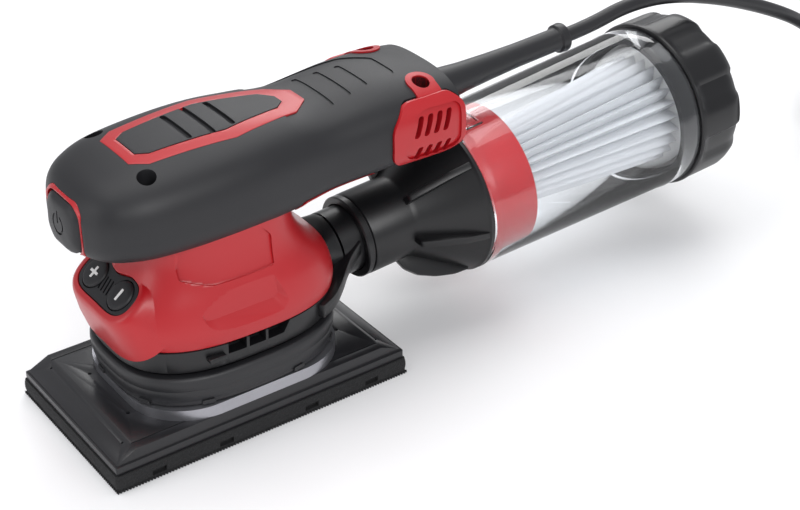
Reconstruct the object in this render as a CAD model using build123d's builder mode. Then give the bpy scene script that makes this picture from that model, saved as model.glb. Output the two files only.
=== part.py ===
from build123d import *
import math
import os

# Orbital sander with a rectangular pad, an in-line handle and a clear dust box at the rear.
# Origin: centre of the sanding face. +X points to the dust box, +Z up, -Y is the near side.

os.makedirs("parts", exist_ok=True)

# ---------------------------------------------------------------- driving sizes (mm)
wall = 2.6                    # wall of the moulded housings
curved_gap = 0.35             # air between curved faces of different bodies
fit_gap = 0.02                # radial clearance of a running fit
panel_gap = 0.5               # air around buttons

# Pad and sole
pad_length = 133.0
pad_width = 80.0
hook_thickness = 1.2
cushion_thickness = 6.2
plate_length = 129.4
plate_width = 75.4
plate_edge_height = 3.95      # at the two ends
plate_height = 8.1            # on the flat top
plate_slope_run = 9.1
dust_hole_radius = 4.0
dust_hole_spots = [(x, y) for x, y in ((10, 25), (-10, 25), (10, -25), (-10, -25))]
dust_hole_spots += [(37, 6), (-37, 6), (37, -6), (-37, -6)]
clip_notch_centres = (-48.4, -19.0, 20.2, 49.0)
clip_notch_length = 6.2
clip_notch_height = 2.6
clip_notch_depth = 2.0
pad_screw_circle = 23.0
pad_screw_radius = 1.7
pad_screw_head_radius = 3.3
pad_screw_head_height = 2.4
pad_screw_access_radius = 3.8

# Drive train
orbit_radius = 1.0            # half of the 2 mm sanding stroke
shaft_radius = 5.0
shaft_tip_radius = 4.0
journal_radius = 6.0
journal_neck = 0.8            # journal left free above the pad bearing
shaft_shoulder_radius = 8.0
pad_bearing_radius = 14.0
pad_bearing_height = 8.0
lower_bearing_radius = 13.0
lower_bearing_height = 8.0
upper_bearing_radius = 11.0
upper_bearing_height = 7.0
weight_radius = 22.0
weight_height = 7.0
weight_gap = 2.0
fan_radius = 27.5
fan_height = 11.0
fan_blade_count = 12
rotor_radius = 13.0
rotor_height = 26.0
air_gap = 0.6
stator_radius = 25.0
stator_height = 24.0
tooth_count = 9
tooth_width = 5.0
cradle_wall = 2.3

# Pad carrier (the metal hub between the pad and the housing)
hub_height = 4.7
hub_half_length = 45.6
hub_half_width = 37.3
hub_corner = 26.0
hub_wall = 3.0
hub_deck = 2.0
bearing_cup_wall = 3.5
leg_radius = 5.0
leg_x = 29.0
leg_y = 19.5
leg_socket_gap = 0.6
leg_socket_wall = 1.8

# Housing heights
seal_gap = 0.3
seal_height = 12.5
seal_wall = 4.0
shroud_top = 54.0
skirt_bottom = 45.0
bracket_thickness = 3.0
neck_top = 84.0
housing_corner = 25.0

# Grip
grip_lower_radius = 9.0
belly_start = 27.0
belly_split = 88.5
inlay_depth = 1.0
palm_depth = 1.6
groove_depth = 1.1
groove_width = 2.4
cheek_proud = 0.9
bezel_width = 1.3
button_half_width = 12.0
button_low = 86.0
button_high = 106.0
button_nose = -60.0
button_travel = 1.2

# Screws that join the grip to the parts below it
screw_spots = ((-32.9, 20.4), (-32.9, -20.4), (89.0, 19.0), (89.0, -19.0))
screw_seat = 108.0
boss_bottom = 92.0
neck_boss_bottom = 81.2

# Speed keys
key_spacing = 20.0
key_radius = 6.2
key_proud = 1.1
key_travel = 0.8
key_panel_width = 17.0
key_panel_thickness = 3.0
key_boss_width = 22.0

# Dust box, along its own tilted axis
box_axis_x = 60.0
box_axis_z = 46.0
box_tilt = 4.05
pipe_radius = 14.4
pipe_wall = 2.2
pipe_end = 26.0
sleeve_radius = 17.8
sleeve_start = 4.3
cone_start = 29.0
flange_end = 56.2
flange_radius = 34.6
collar_end = 80.4
canister_front_radius = 34.2
canister_rear_radius = 36.9
canister_end = 170.0
canister_wall = 1.5
cap_radius = 38.4
cap_end = 199.0
cap_flute_count = 12
pleat_count = 26

# Cord
cord_diameter = 6.5
cord_length = 4000.0
guard_root = (102.0, 0.0, 101.0)
guard_end = (178.6, 0.0, 105.9)
coil_centre = (404.05, -17.0)
coil_middle_diameter = 73.4
coil_layers = 4
tie_thickness = 0.8
tie_width = 12.0

# Plug
plug_relief_length = 20.0
plug_length = 34.0
plug_width = 35.5
plug_thickness = 13.6
pin_radius = 2.4
pin_length = 19.0
pin_spacing = 19.0

# ---------------------------------------------------------------- derived places
motor_x = -orbit_radius
cushion_top = hook_thickness + cushion_thickness
plate_top = cushion_top + plate_height
hub_top = plate_top + hub_height
seal_bottom = hub_top + seal_gap
seal_top = seal_bottom + seal_height
pad_bearing_bottom = hub_top + 1.8
pad_bearing_top = pad_bearing_bottom + pad_bearing_height
weight_bottom = pad_bearing_top + weight_gap
weight_top = weight_bottom + weight_height
inlet_plate_bottom = weight_top + 0.6
inlet_plate_top = inlet_plate_bottom + 1.4
fan_bottom = inlet_plate_top + 1.0
fan_top = fan_bottom + fan_height
bracket_top = shroud_top + bracket_thickness
lower_bearing_bottom = bracket_top + 0.5
lower_bearing_top = lower_bearing_bottom + lower_bearing_height
stator_bottom = lower_bearing_top + 3.2
stator_top = stator_bottom + stator_height
winding_reach = 2.2
cradle_cap_bottom = stator_top + winding_reach + 1.5
upper_bearing_bottom = cradle_cap_bottom + 2.5
upper_bearing_top = upper_bearing_bottom + upper_bearing_height
cup_radius = pad_bearing_radius + bearing_cup_wall
leg_bottom = plate_top + 2.1
cradle_radius = stator_radius + cradle_wall
cord_radius = cord_diameter / 2
coil_bundle = coil_layers * cord_diameter


def oval(z, middle, half_length, half_width, corner):
    """Rounded-rectangle section across the machine at height z."""
    with BuildSketch(Plane.XY.offset(z)) as section:
        with Locations((middle, 0)):
            RectangleRounded(2 * half_length, 2 * half_width, corner)
    return section.sketch


def ring_solid(centre_x, z, height, outer, inner):
    """Plain ring standing on height z."""
    with BuildPart() as ring:
        with BuildSketch(Plane.XY.offset(z)):
            with Locations((centre_x, 0)):
                Circle(outer)
                Circle(inner, mode=Mode.SUBTRACT)
        extrude(amount=height)
    return ring.part


# ---------------------------------------------------------------- pad
with BuildPart() as hook_sheet:
    with BuildSketch():
        Rectangle(pad_length, pad_width)
        with Locations(*dust_hole_spots):
            Circle(dust_hole_radius, mode=Mode.SUBTRACT)
        with PolarLocations(pad_screw_circle, 4):
            Circle(pad_screw_access_radius, mode=Mode.SUBTRACT)
        for side in (-1, 1):
            with Locations(*[(x, side * pad_width / 2) for x in clip_notch_centres]):
                Rectangle(clip_notch_length, 2 * clip_notch_depth, mode=Mode.SUBTRACT)
    extrude(amount=hook_thickness)
hook_sheet.part.label = "hook_sheet"
export_step(hook_sheet.part, "parts/hook_sheet.step")

with BuildPart() as pad_cushion:
    with BuildSketch(Plane.XY.offset(hook_thickness)):
        Rectangle(pad_length, pad_width)
        with Locations(*dust_hole_spots):
            Circle(dust_hole_radius, mode=Mode.SUBTRACT)
        with PolarLocations(pad_screw_circle, 4):
            Circle(pad_screw_access_radius, mode=Mode.SUBTRACT)
    extrude(amount=cushion_thickness)
    with BuildSketch(Plane.XY.offset(hook_thickness)):
        for side in (-1, 1):
            with Locations(*[(x, side * pad_width / 2) for x in clip_notch_centres]):
                Rectangle(clip_notch_length, 2 * clip_notch_depth)
    extrude(amount=clip_notch_height - hook_thickness, mode=Mode.SUBTRACT)
pad_cushion.part.label = "pad_cushion"
export_step(pad_cushion.part, "parts/pad_cushion.step")

with BuildPart() as pad_plate:
    with BuildSketch(Plane.XZ.offset(-plate_width / 2)):
        with BuildLine():
            Polyline(
                (-plate_length / 2, cushion_top),
                (plate_length / 2, cushion_top),
                (plate_length / 2, cushion_top + plate_edge_height),
                (plate_length / 2 - plate_slope_run, plate_top),
                (-plate_length / 2 + plate_slope_run, plate_top),
                (-plate_length / 2, cushion_top + plate_edge_height),
                close=True,
            )
        make_face()
    extrude(amount=plate_width)
    with BuildSketch(Plane.XY.offset(cushion_top)):
        with Locations(*dust_hole_spots):
            Circle(dust_hole_radius)
        with PolarLocations(pad_screw_circle, 4):
            Circle(pad_screw_radius + 0.1)
    extrude(amount=plate_height, mode=Mode.SUBTRACT)
    with BuildSketch(Plane.XY.offset(cushion_top)):
        with PolarLocations(pad_screw_circle, 4):
            Circle(pad_screw_head_radius + 0.2)
    extrude(amount=pad_screw_head_height + 1.6, mode=Mode.SUBTRACT)
pad_plate.part.label = "pad_plate"
export_step(pad_plate.part, "parts/pad_plate.step")

pad_screw_seat = cushion_top + pad_screw_head_height + 1.6
with BuildPart() as pad_screws:
    with BuildSketch(Plane.XY.offset(pad_screw_seat - pad_screw_head_height)):
        with PolarLocations(pad_screw_circle, 4):
            Circle(pad_screw_head_radius)
            RegularPolygon(1.5, 6, mode=Mode.SUBTRACT)
    extrude(amount=pad_screw_head_height * 0.6)
    with BuildSketch(Plane.XY.offset(pad_screw_seat - pad_screw_head_height * 0.4)):
        with PolarLocations(pad_screw_circle, 4):
            Circle(pad_screw_head_radius)
    extrude(amount=pad_screw_head_height * 0.4)
    with BuildSketch(Plane.XY.offset(pad_screw_seat)):
        with PolarLocations(pad_screw_circle, 4):
            Circle(pad_screw_radius)
    extrude(amount=hub_top - 1.0 - pad_screw_seat)
pad_screws.part.label = "pad_screws"
export_step(pad_screws.part, "parts/pad_screws.step")

leg_spots = [(x * leg_x, y * leg_y) for x in (-1, 1) for y in (-1, 1)]
socket_radius = leg_radius + orbit_radius + leg_socket_gap

with BuildPart() as pad_carrier:
    loft(
        [
            oval(plate_top, 0, hub_half_length - 0.5, hub_half_width + 0.4, hub_corner),
            oval(hub_top, 0, hub_half_length, hub_half_width, hub_corner),
        ],
        ruled=True,
    )
    with BuildSketch(Plane.XY.offset(plate_top)):
        inner_length = 2 * (hub_half_length - hub_wall)
        RectangleRounded(inner_length, 2 * (hub_half_width - hub_wall), hub_corner - hub_wall)
        Circle(cup_radius, mode=Mode.SUBTRACT)
        with PolarLocations(pad_screw_circle, 4):
            Circle(pad_screw_radius + 2.6, mode=Mode.SUBTRACT)
        with Locations(*leg_spots):
            Circle(socket_radius + leg_socket_wall, mode=Mode.SUBTRACT)
    extrude(amount=hub_height - hub_deck, mode=Mode.SUBTRACT)
    with BuildSketch(Plane.XY.offset(hub_top)):
        Circle(cup_radius)
    extrude(amount=pad_bearing_top + 1.2 - hub_top)
    with BuildSketch(Plane.XY.offset(pad_bearing_bottom)):
        Circle(pad_bearing_radius)
    extrude(amount=pad_bearing_height + 2, mode=Mode.SUBTRACT)
    with BuildSketch(Plane.XY.offset(pad_bearing_bottom - 1.2)):
        Circle(pad_bearing_radius - 3)
    extrude(amount=2, mode=Mode.SUBTRACT)
    with BuildSketch(Plane.XY.offset(plate_top + 1.5)):
        with Locations(*leg_spots):
            Circle(socket_radius)
    extrude(amount=hub_height, mode=Mode.SUBTRACT)
    with BuildSketch(Plane.XY.offset(hub_top - hub_deck)):
        with Locations(*dust_hole_spots):
            Circle(dust_hole_radius + 0.6)
    extrude(amount=hub_deck, mode=Mode.SUBTRACT)
    with BuildSketch(Plane.XY.offset(plate_top)):
        with PolarLocations(pad_screw_circle, 4):
            Circle(pad_screw_radius + 0.05)
    extrude(amount=hub_height - 1.0, mode=Mode.SUBTRACT)
pad_carrier.part.label = "pad_carrier"
export_step(pad_carrier.part, "parts/pad_carrier.step")

pad_bearing = ring_solid(0, pad_bearing_bottom, pad_bearing_height, pad_bearing_radius, journal_radius)
pad_bearing.label = "pad_bearing"
export_step(pad_bearing, "parts/pad_bearing.step")

bearing_circlip = ring_solid(0, pad_bearing_top, 1.2, pad_bearing_radius, pad_bearing_radius - 2.5)
bearing_circlip.label = "bearing_circlip"
export_step(bearing_circlip, "parts/bearing_circlip.step")

# ---------------------------------------------------------------- shaft, weight and fan
with BuildPart() as motor_shaft:
    with BuildSketch(Plane.XY.offset(pad_bearing_bottom)):
        Circle(journal_radius - fit_gap)
    extrude(amount=pad_bearing_height + journal_neck)
    with BuildSketch(Plane.XY.offset(pad_bearing_top + journal_neck)):
        with Locations((motor_x, 0)):
            Circle(shaft_shoulder_radius)
    extrude(amount=weight_gap - journal_neck)
    with BuildSketch(Plane.XY.offset(weight_bottom)):
        with Locations((motor_x, 0)):
            Circle(shaft_radius - fit_gap)
    extrude(amount=lower_bearing_top - weight_bottom)
    with BuildSketch(Plane.XY.offset(lower_bearing_top)):
        with Locations((motor_x, 0)):
            Circle(shaft_tip_radius - fit_gap)
    extrude(amount=upper_bearing_top - lower_bearing_top)
motor_shaft.part.label = "motor_shaft"
export_step(motor_shaft.part, "parts/motor_shaft.step")

with BuildPart() as balance_weight:
    with BuildSketch(Plane.XY.offset(weight_bottom)):
        with Locations((motor_x, 0)):
            Circle(weight_radius)
        with Locations((motor_x + 5 + weight_radius / 2, 0)):
            Rectangle(weight_radius, 2 * weight_radius + 2, mode=Mode.SUBTRACT)
        with Locations((motor_x, 0)):
            Circle(shaft_radius + 4.5)
            Circle(shaft_radius, mode=Mode.SUBTRACT)
    extrude(amount=weight_height)
balance_weight.part.label = "balance_weight"
export_step(balance_weight.part, "parts/balance_weight.step")

with BuildPart() as fan_wheel:
    with BuildSketch(Plane.XY.offset(fan_bottom)):
        with Locations((motor_x, 0)):
            Circle(shaft_radius + 4)
            with PolarLocations(fan_radius - 7.0, fan_blade_count):
                with Locations(Location((0, 0, 0), (0, 0, 22))):
                    Rectangle(13.0, 1.5)
        with Locations((motor_x, 0)):
            Circle(shaft_radius, mode=Mode.SUBTRACT)
    extrude(amount=fan_height - 1.6)
    with BuildSketch(Plane.XY.offset(fan_top - 1.6)):
        with Locations((motor_x, 0)):
            Circle(fan_radius)
            Circle(shaft_radius, mode=Mode.SUBTRACT)
    extrude(amount=1.6)
fan_wheel.part.label = "fan_wheel"
export_step(fan_wheel.part, "parts/fan_wheel.step")

rotor_bottom = stator_bottom - (rotor_height - stator_height) / 2
rotor_core = ring_solid(motor_x, rotor_bottom, rotor_height, rotor_radius - 2.5, shaft_tip_radius)
rotor_core.label = "rotor_core"
export_step(rotor_core, "parts/rotor_core.step")

with BuildPart() as rotor_magnets:
    with BuildSketch(Plane.XY.offset(stator_bottom)):
        with Locations((motor_x, 0)):
            Circle(rotor_radius)
            Circle(rotor_radius - 2.5, mode=Mode.SUBTRACT)
            with PolarLocations(rotor_radius, 6):
                Rectangle(8, 1.2, mode=Mode.SUBTRACT)
    extrude(amount=stator_height)
rotor_magnets.part.label = "rotor_magnets"
export_step(rotor_magnets.part, "parts/rotor_magnets.step")

# ---------------------------------------------------------------- motor, fixed parts
tooth_inner = rotor_radius + air_gap
yoke_inner = stator_radius - 4.0

with BuildPart() as stator_core:
    with BuildSketch(Plane.XY.offset(stator_bottom)):
        with Locations((motor_x, 0)):
            Circle(stator_radius)
            Circle(yoke_inner, mode=Mode.SUBTRACT)
            with PolarLocations((tooth_inner + yoke_inner) / 2, tooth_count):
                Rectangle(yoke_inner - tooth_inner + 2, tooth_width)
        with Locations((motor_x, 0)):
            Circle(tooth_inner, mode=Mode.SUBTRACT)
    extrude(amount=stator_height)
stator_core.part.label = "stator_core"
export_step(stator_core.part, "parts/stator_core.step")

coil_inner = tooth_inner + 2.0
coil_outer = yoke_inner - 0.8
with BuildPart() as stator_windings:
    with BuildSketch(Plane.XY.offset(stator_bottom - winding_reach)):
        with Locations((motor_x, 0)):
            with PolarLocations((coil_inner + coil_outer) / 2, tooth_count):
                Rectangle(coil_outer - coil_inner, tooth_width + 3.6)
    extrude(amount=stator_height + 2 * winding_reach)
    with BuildSketch(Plane.XY.offset(stator_bottom)):
        with Locations((motor_x, 0)):
            with PolarLocations((coil_inner + coil_outer) / 2, tooth_count):
                Rectangle(coil_outer - coil_inner + 1, tooth_width)
    extrude(amount=stator_height, mode=Mode.SUBTRACT)
stator_windings.part.label = "stator_windings"
export_step(stator_windings.part, "parts/stator_windings.step")

lower_bearing = ring_solid(
    motor_x, lower_bearing_bottom, lower_bearing_height, lower_bearing_radius, shaft_radius
)
lower_bearing.label = "lower_bearing"
export_step(lower_bearing, "parts/lower_bearing.step")

upper_bearing = ring_solid(
    motor_x, upper_bearing_bottom, upper_bearing_height, upper_bearing_radius, shaft_tip_radius
)
upper_bearing.label = "upper_bearing"
export_step(upper_bearing, "parts/upper_bearing.step")

# ---------------------------------------------------------------- lower housing
seal_sections = (
    (seal_bottom, 45.8, 37.0),
    (seal_bottom + 5.5, 47.4, 37.8),
    (seal_top, 47.2, 37.5),
)
shroud_foot = (seal_top, 46.4, 36.6)
shroud_waist = (skirt_bottom - 0.2, 46.8, 36.8)
shroud_neck_length = 44.0
shroud_neck_width = 34.0
skirt_sections = (
    (skirt_bottom, 0.5, 47.2, 36.8),
    (52.0, 0.5, 47.5, 37.4),
    (61.0, 0.5, 44.6, 35.4),
    (70.0, -1.0, 37.0, 32.6),
    (78.0, -1.5, 33.0, 31.0),
    (neck_top, -1.5, 32.6, 30.6),
)


def skirt_loft(inset, low=0.0, high=0.0):
    """Body of the red housing, pulled in by an inset and run past its ends."""
    sections = [list(row) for row in skirt_sections]
    sections[0][0] -= low
    sections[-1][0] += high
    return [oval(z, mid, a - inset, b - inset, housing_corner - inset) for z, mid, a, b in sections]


def duct_frame(start, radius):
    """Rounded entry section of the outlet duct and its round end on the tilted axis."""
    with BuildSketch(Plane(origin=(start, 0, 44.0), x_dir=(0, 1, 0), z_dir=(1, 0, 0))) as entry:
        RectangleRounded(2 * radius, 1.35 * radius, 5)
    with BuildSketch(box_plane.offset(-8.0)) as mouth:
        Circle(radius)
    return [entry.sketch, mouth.sketch]


tilt = math.radians(box_tilt)
box_direction = (math.cos(tilt), 0, math.sin(tilt))
box_plane = Plane(origin=(box_axis_x, 0, box_axis_z), x_dir=(0, 1, 0), z_dir=box_direction)
axial_plane = Plane(
    origin=(box_axis_x, 0, box_axis_z),
    x_dir=(-math.sin(tilt), 0, math.cos(tilt)),
    z_dir=(0, 1, 0),
)
box_axis = Axis((box_axis_x, 0, box_axis_z), box_direction)

with BuildPart() as duct_outside:
    loft(duct_frame(42.5, pipe_radius))

with BuildPart() as seal_ring:
    loft([oval(z, 0, a, b, 26) for z, a, b in seal_sections], ruled=True)
    inside = [oval(z, 0, a - seal_wall, b - seal_wall, 26 - seal_wall) for z, a, b in seal_sections]
    loft(inside, ruled=True, mode=Mode.SUBTRACT)
seal_ring.part.label = "seal_ring"
export_step(seal_ring.part, "parts/seal_ring.step")

window_middle = 0.5
window_bay = 7.4
window_pitch = 8.6
window_height = 5.6
front_window_width = 22.0
front_window_height = 4.6
with BuildPart() as dust_shroud:
    loft([oval(z, 0, a, b, 26) for z, a, b in (shroud_foot, shroud_waist)], ruled=True)
    with BuildSketch(Plane.XY.offset(shroud_waist[0])):
        RectangleRounded(2 * shroud_neck_length, 2 * shroud_neck_width, 23.4)
    extrude(amount=shroud_top - shroud_waist[0])
    with BuildSketch(Plane.XY.offset(seal_top)):
        RectangleRounded(2 * (shroud_neck_length - wall), 2 * (shroud_neck_width - wall), 20.8)
    extrude(amount=shroud_top - seal_top, mode=Mode.SUBTRACT)
    for side in (-1, 1):
        with BuildSketch(Plane.XZ.offset(side * 30)):
            with Locations((window_middle, 41.5)):
                with GridLocations(window_pitch, 1, 3, 1):
                    Rectangle(window_bay, window_height)
        extrude(amount=side * 10, mode=Mode.SUBTRACT)
    with BuildSketch(Plane.YZ.offset(-38)):
        with Locations((0, 41.2)):
            Rectangle(front_window_width, front_window_height)
    extrude(amount=-12, mode=Mode.SUBTRACT)
    add(duct_outside.part, mode=Mode.SUBTRACT)
dust_shroud.part.label = "dust_shroud"
export_step(dust_shroud.part, "parts/dust_shroud.step")

with BuildPart() as outlet_duct:
    add(duct_outside.part)
    with BuildSketch(box_plane.offset(-8.0)):
        Circle(pipe_radius)
    extrude(amount=pipe_end + 8.0)
    with BuildSketch(Plane.XZ.offset(-1.6)):
        with BuildLine():
            Polyline((49.0, 34), (49.0, 29.8), (60.5, 27.4), (62.8, 31), (62.8, 36), close=True)
        make_face()
    extrude(amount=3.2)
    loft(duct_frame(42.5, pipe_radius - pipe_wall), mode=Mode.SUBTRACT)
    with BuildSketch(box_plane.offset(-8.0)):
        Circle(pipe_radius - pipe_wall)
    extrude(amount=pipe_end + 8.0, mode=Mode.SUBTRACT)
    with BuildSketch(axial_plane):
        with Locations((pipe_radius, 21.0)):
            Rectangle(2.4, 2.6)
    revolve(axis=box_axis, mode=Mode.SUBTRACT)
outlet_duct.part.label = "outlet_duct"
export_step(outlet_duct.part, "parts/outlet_duct.step")

with BuildPart() as outlet_seal:
    with BuildSketch(axial_plane):
        with Locations(((pipe_radius - 1.2 + pipe_radius + curved_gap - fit_gap) / 2, 21.0)):
            Rectangle(1.2 + curved_gap - fit_gap, 2.6)
    revolve(axis=box_axis)
outlet_seal.part.label = "outlet_seal"
export_step(outlet_seal.part, "parts/outlet_seal.step")

key_plane = Plane(origin=(-42.6, 0, 63.3), x_dir=(0, 1, 0), z_dir=(-0.62, 0, 0.785))
with BuildPart() as motor_housing:
    loft(skirt_loft(0), ruled=True)
    with BuildSketch(key_plane.offset(0.6)):
        SlotCenterToCenter(key_spacing, key_boss_width)
    extrude(amount=-9)
    loft(skirt_loft(wall, 1.0, 1.0), ruled=True, mode=Mode.SUBTRACT)
    with BuildSketch(Plane.XY.offset(neck_boss_bottom)):
        with Locations(*screw_spots[:2]):
            Circle(4.2)
    extrude(amount=boss_bottom - neck_boss_bottom)
    with BuildSketch(Plane.XY.offset(neck_boss_bottom + 1)):
        with Locations(*screw_spots[:2]):
            Circle(1.5)
    extrude(amount=boss_bottom - neck_boss_bottom - 1, mode=Mode.SUBTRACT)
    with BuildSketch(key_plane.offset(12)):
        SlotCenterToCenter(key_spacing, key_panel_width + 0.1)
    extrude(amount=-12 - key_panel_thickness - key_travel - 1.6, mode=Mode.SUBTRACT)
    add(duct_outside.part, mode=Mode.SUBTRACT)
motor_housing.part.label = "motor_housing"
export_step(motor_housing.part, "parts/motor_housing.step")

with BuildPart() as bearing_bracket:
    with BuildSketch(Plane.XY.offset(shroud_top)):
        RectangleRounded(2 * (shroud_neck_length - 2), 2 * (shroud_neck_width - 1), 22)
    extrude(amount=bracket_thickness)
    with BuildSketch(Plane.XY.offset(bracket_top)):
        with Locations((motor_x, 0)):
            Circle(lower_bearing_radius + 3)
    extrude(amount=lower_bearing_top + 0.5 - bracket_top)
    with BuildSketch(Plane.XY.offset(lower_bearing_bottom)):
        with Locations((motor_x, 0)):
            Circle(lower_bearing_radius)
    extrude(amount=lower_bearing_height + 1, mode=Mode.SUBTRACT)
    with BuildSketch(Plane.XY.offset(shroud_top)):
        with Locations((motor_x, 0)):
            Circle(shaft_radius + 3)
        with Locations(*[(motor_x + x, y) for x, y in leg_spots]):
            Circle(1.8)
    extrude(amount=bracket_thickness + 1, mode=Mode.SUBTRACT)
bearing_bracket.part.label = "bearing_bracket"
export_step(bearing_bracket.part, "parts/bearing_bracket.step")

with BuildPart() as inlet_plate:
    with BuildSketch(Plane.XY.offset(inlet_plate_bottom)):
        RectangleRounded(2 * (shroud_neck_length - wall), 2 * (shroud_neck_width - wall), 20.8)
        with Locations((motor_x, 0)):
            Circle(weight_radius + 1.2, mode=Mode.SUBTRACT)
        with Locations(*[(motor_x + x, y) for x, y in leg_spots]):
            Circle(leg_radius + 0.2, mode=Mode.SUBTRACT)
    extrude(amount=inlet_plate_top - inlet_plate_bottom)
    add(duct_outside.part, mode=Mode.SUBTRACT)
inlet_plate.part.label = "inlet_plate"
export_step(inlet_plate.part, "parts/inlet_plate.step")

leg_screw_depth = 9.0
with BuildPart() as support_legs:
    with BuildSketch(Plane.XY.offset(leg_bottom)):
        with Locations(*[(motor_x + x, y) for x, y in leg_spots]):
            Circle(leg_radius)
    extrude(amount=shroud_top - leg_bottom)
    with BuildSketch(Plane.XY.offset(shroud_top - leg_screw_depth)):
        with Locations(*[(motor_x + x, y) for x, y in leg_spots]):
            Circle(1.65)
    extrude(amount=leg_screw_depth, mode=Mode.SUBTRACT)
support_legs.part.label = "support_legs"
export_step(support_legs.part, "parts/support_legs.step")

with BuildPart() as leg_screws:
    with BuildSketch(Plane.XY.offset(shroud_top - leg_screw_depth + 0.5)):
        with Locations(*[(motor_x + x, y) for x, y in leg_spots]):
            Circle(1.6)
    extrude(amount=leg_screw_depth - 0.5 + bracket_thickness)
    with BuildSketch(Plane.XY.offset(bracket_top)):
        with Locations(*[(motor_x + x, y) for x, y in leg_spots]):
            Circle(3.0)
            RegularPolygon(1.4, 6, mode=Mode.SUBTRACT)
    extrude(amount=2.0)
leg_screws.part.label = "leg_screws"
export_step(leg_screws.part, "parts/leg_screws.step")

with BuildPart() as motor_cradle:
    with BuildSketch(Plane.XY.offset(bracket_top)):
        with Locations((motor_x, 0)):
            Circle(cradle_radius)
            Circle(stator_radius, mode=Mode.SUBTRACT)
    extrude(amount=cradle_cap_bottom - bracket_top)
    with BuildSketch(Plane.XY.offset(bracket_top + 1)):
        with Locations((motor_x, 0)):
            with PolarLocations(cradle_radius, 6, start_angle=30):
                Rectangle(8, 13)
    extrude(amount=stator_bottom - bracket_top - 2, mode=Mode.SUBTRACT)
    with BuildSketch(Plane.XY.offset(cradle_cap_bottom)):
        with Locations((motor_x, 0)):
            Circle(cradle_radius)
            Circle(9, mode=Mode.SUBTRACT)
            with PolarLocations(19.5, 6):
                Circle(3.2, mode=Mode.SUBTRACT)
    extrude(amount=upper_bearing_bottom - cradle_cap_bottom)
    with BuildSketch(Plane.XY.offset(upper_bearing_bottom)):
        with Locations((motor_x, 0)):
            Circle(upper_bearing_radius + 3)
            Circle(upper_bearing_radius, mode=Mode.SUBTRACT)
    extrude(amount=upper_bearing_height)
    with BuildSketch(Plane.XY.offset(upper_bearing_top)):
        with Locations((motor_x, 0)):
            Circle(upper_bearing_radius + 3)
            Circle(6, mode=Mode.SUBTRACT)
    extrude(amount=1.6)
motor_cradle.part.label = "motor_cradle"
export_step(motor_cradle.part, "parts/motor_cradle.step")

# ---------------------------------------------------------------- speed keys
with BuildPart() as key_panel:
    with BuildSketch(key_plane.offset(0.6)):
        SlotCenterToCenter(key_spacing, key_panel_width)
        with GridLocations(key_spacing, 1, 2, 1):
            Circle(key_radius + 0.4, mode=Mode.SUBTRACT)
    extrude(amount=-key_panel_thickness)
    with BuildSketch(key_plane.offset(0.6)):
        with GridLocations(2.2, 1, 4, 1):
            SlotOverall(8.5, 1.1, rotation=75)
    extrude(amount=-0.6, mode=Mode.SUBTRACT)
key_panel.part.label = "key_panel"
export_step(key_panel.part, "parts/key_panel.step")

key_board_top = 0.6 - key_panel_thickness - key_travel
for name, spot in (("speed_up_key", key_spacing / 2), ("speed_down_key", -key_spacing / 2)):
    with BuildPart() as key:
        with BuildSketch(key_plane.offset(0.6 + key_proud)):
            with Locations((spot, 0)):
                Circle(key_radius)
        extrude(amount=-key_panel_thickness - key_proud + 0.2)
        fillet(key.edges().filter_by(GeomType.CIRCLE).sort_by(Axis.Z)[-1], 0.8)
        with BuildSketch(key_plane.offset(0.6 + key_proud)):
            with Locations((spot, 0)):
                Rectangle(1.0, 4.6)
                if spot > 0:
                    Rectangle(4.6, 1.0)
        extrude(amount=-0.35, mode=Mode.SUBTRACT)
    key.part.label = name
    export_step(key.part, f"parts/{name}.step")

with BuildPart() as key_board:
    with BuildSketch(key_plane.offset(key_board_top)):
        SlotCenterToCenter(key_spacing, key_panel_width)
    extrude(amount=-1.4)
key_board.part.label = "key_board"
export_step(key_board.part, "parts/key_board.step")

# ---------------------------------------------------------------- grip
# x, half width, underside, top, radius of the upper corners
grip_stations = (
    (-57.0, 15.0, 85.0, 107.0, 9.0),
    (-53.0, 22.5, 82.0, 111.5, 12.0),
    (-46.0, 28.0, 79.5, 115.0, 15.0),
    (-34.0, 32.0, 78.0, 117.8, 17.0),
    (-12.0, 33.5, 78.0, 119.8, 18.0),
    (8.0, 33.0, 78.0, 120.3, 18.0),
    (26.0, 30.5, 79.5, 119.3, 17.5),
    (44.0, 28.6, 84.0, 117.6, 17.0),
    (70.0, 29.5, 85.0, 119.6, 16.5),
    (92.0, 30.4, 85.5, 119.0, 14.0),
    (102.0, 30.0, 86.5, 118.0, 12.0),
)
grip_end = grip_stations[-1][0]


def grip_sections(inset):
    """Cross-sections of the grip along its length, pulled in by an inset all round."""
    sections = []
    last = len(grip_stations) - 1
    for index, (x, half_width, low, high, crown) in enumerate(grip_stations):
        shift = inset if index == 0 else (-inset if index == last else 0)
        plane = Plane(origin=(x + shift, 0, (low + high) / 2), x_dir=(0, 1, 0), z_dir=(1, 0, 0))
        with BuildSketch(plane) as section:
            Rectangle(2 * (half_width - inset), high - low - 2 * inset)
            fillet(section.vertices().group_by(Axis.Y)[-1], crown - inset)
            fillet(section.vertices().group_by(Axis.Y)[0], grip_lower_radius - inset)
        sections.append(section.sketch)
    return sections


def grip_solid(inset):
    """Solid body of the grip's outer shape, pulled in by an inset."""
    with BuildPart() as body:
        loft(grip_sections(inset), ruled=True)
    return body.part


def upright(points, low=60.0, high=140.0):
    """Upright prism over an outline in plan."""
    with BuildPart() as prism:
        with BuildSketch(Plane.XY.offset(low)):
            with BuildLine():
                Polyline(*points, close=True)
            make_face()
        extrude(amount=high - low)
    return prism.part


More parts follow.
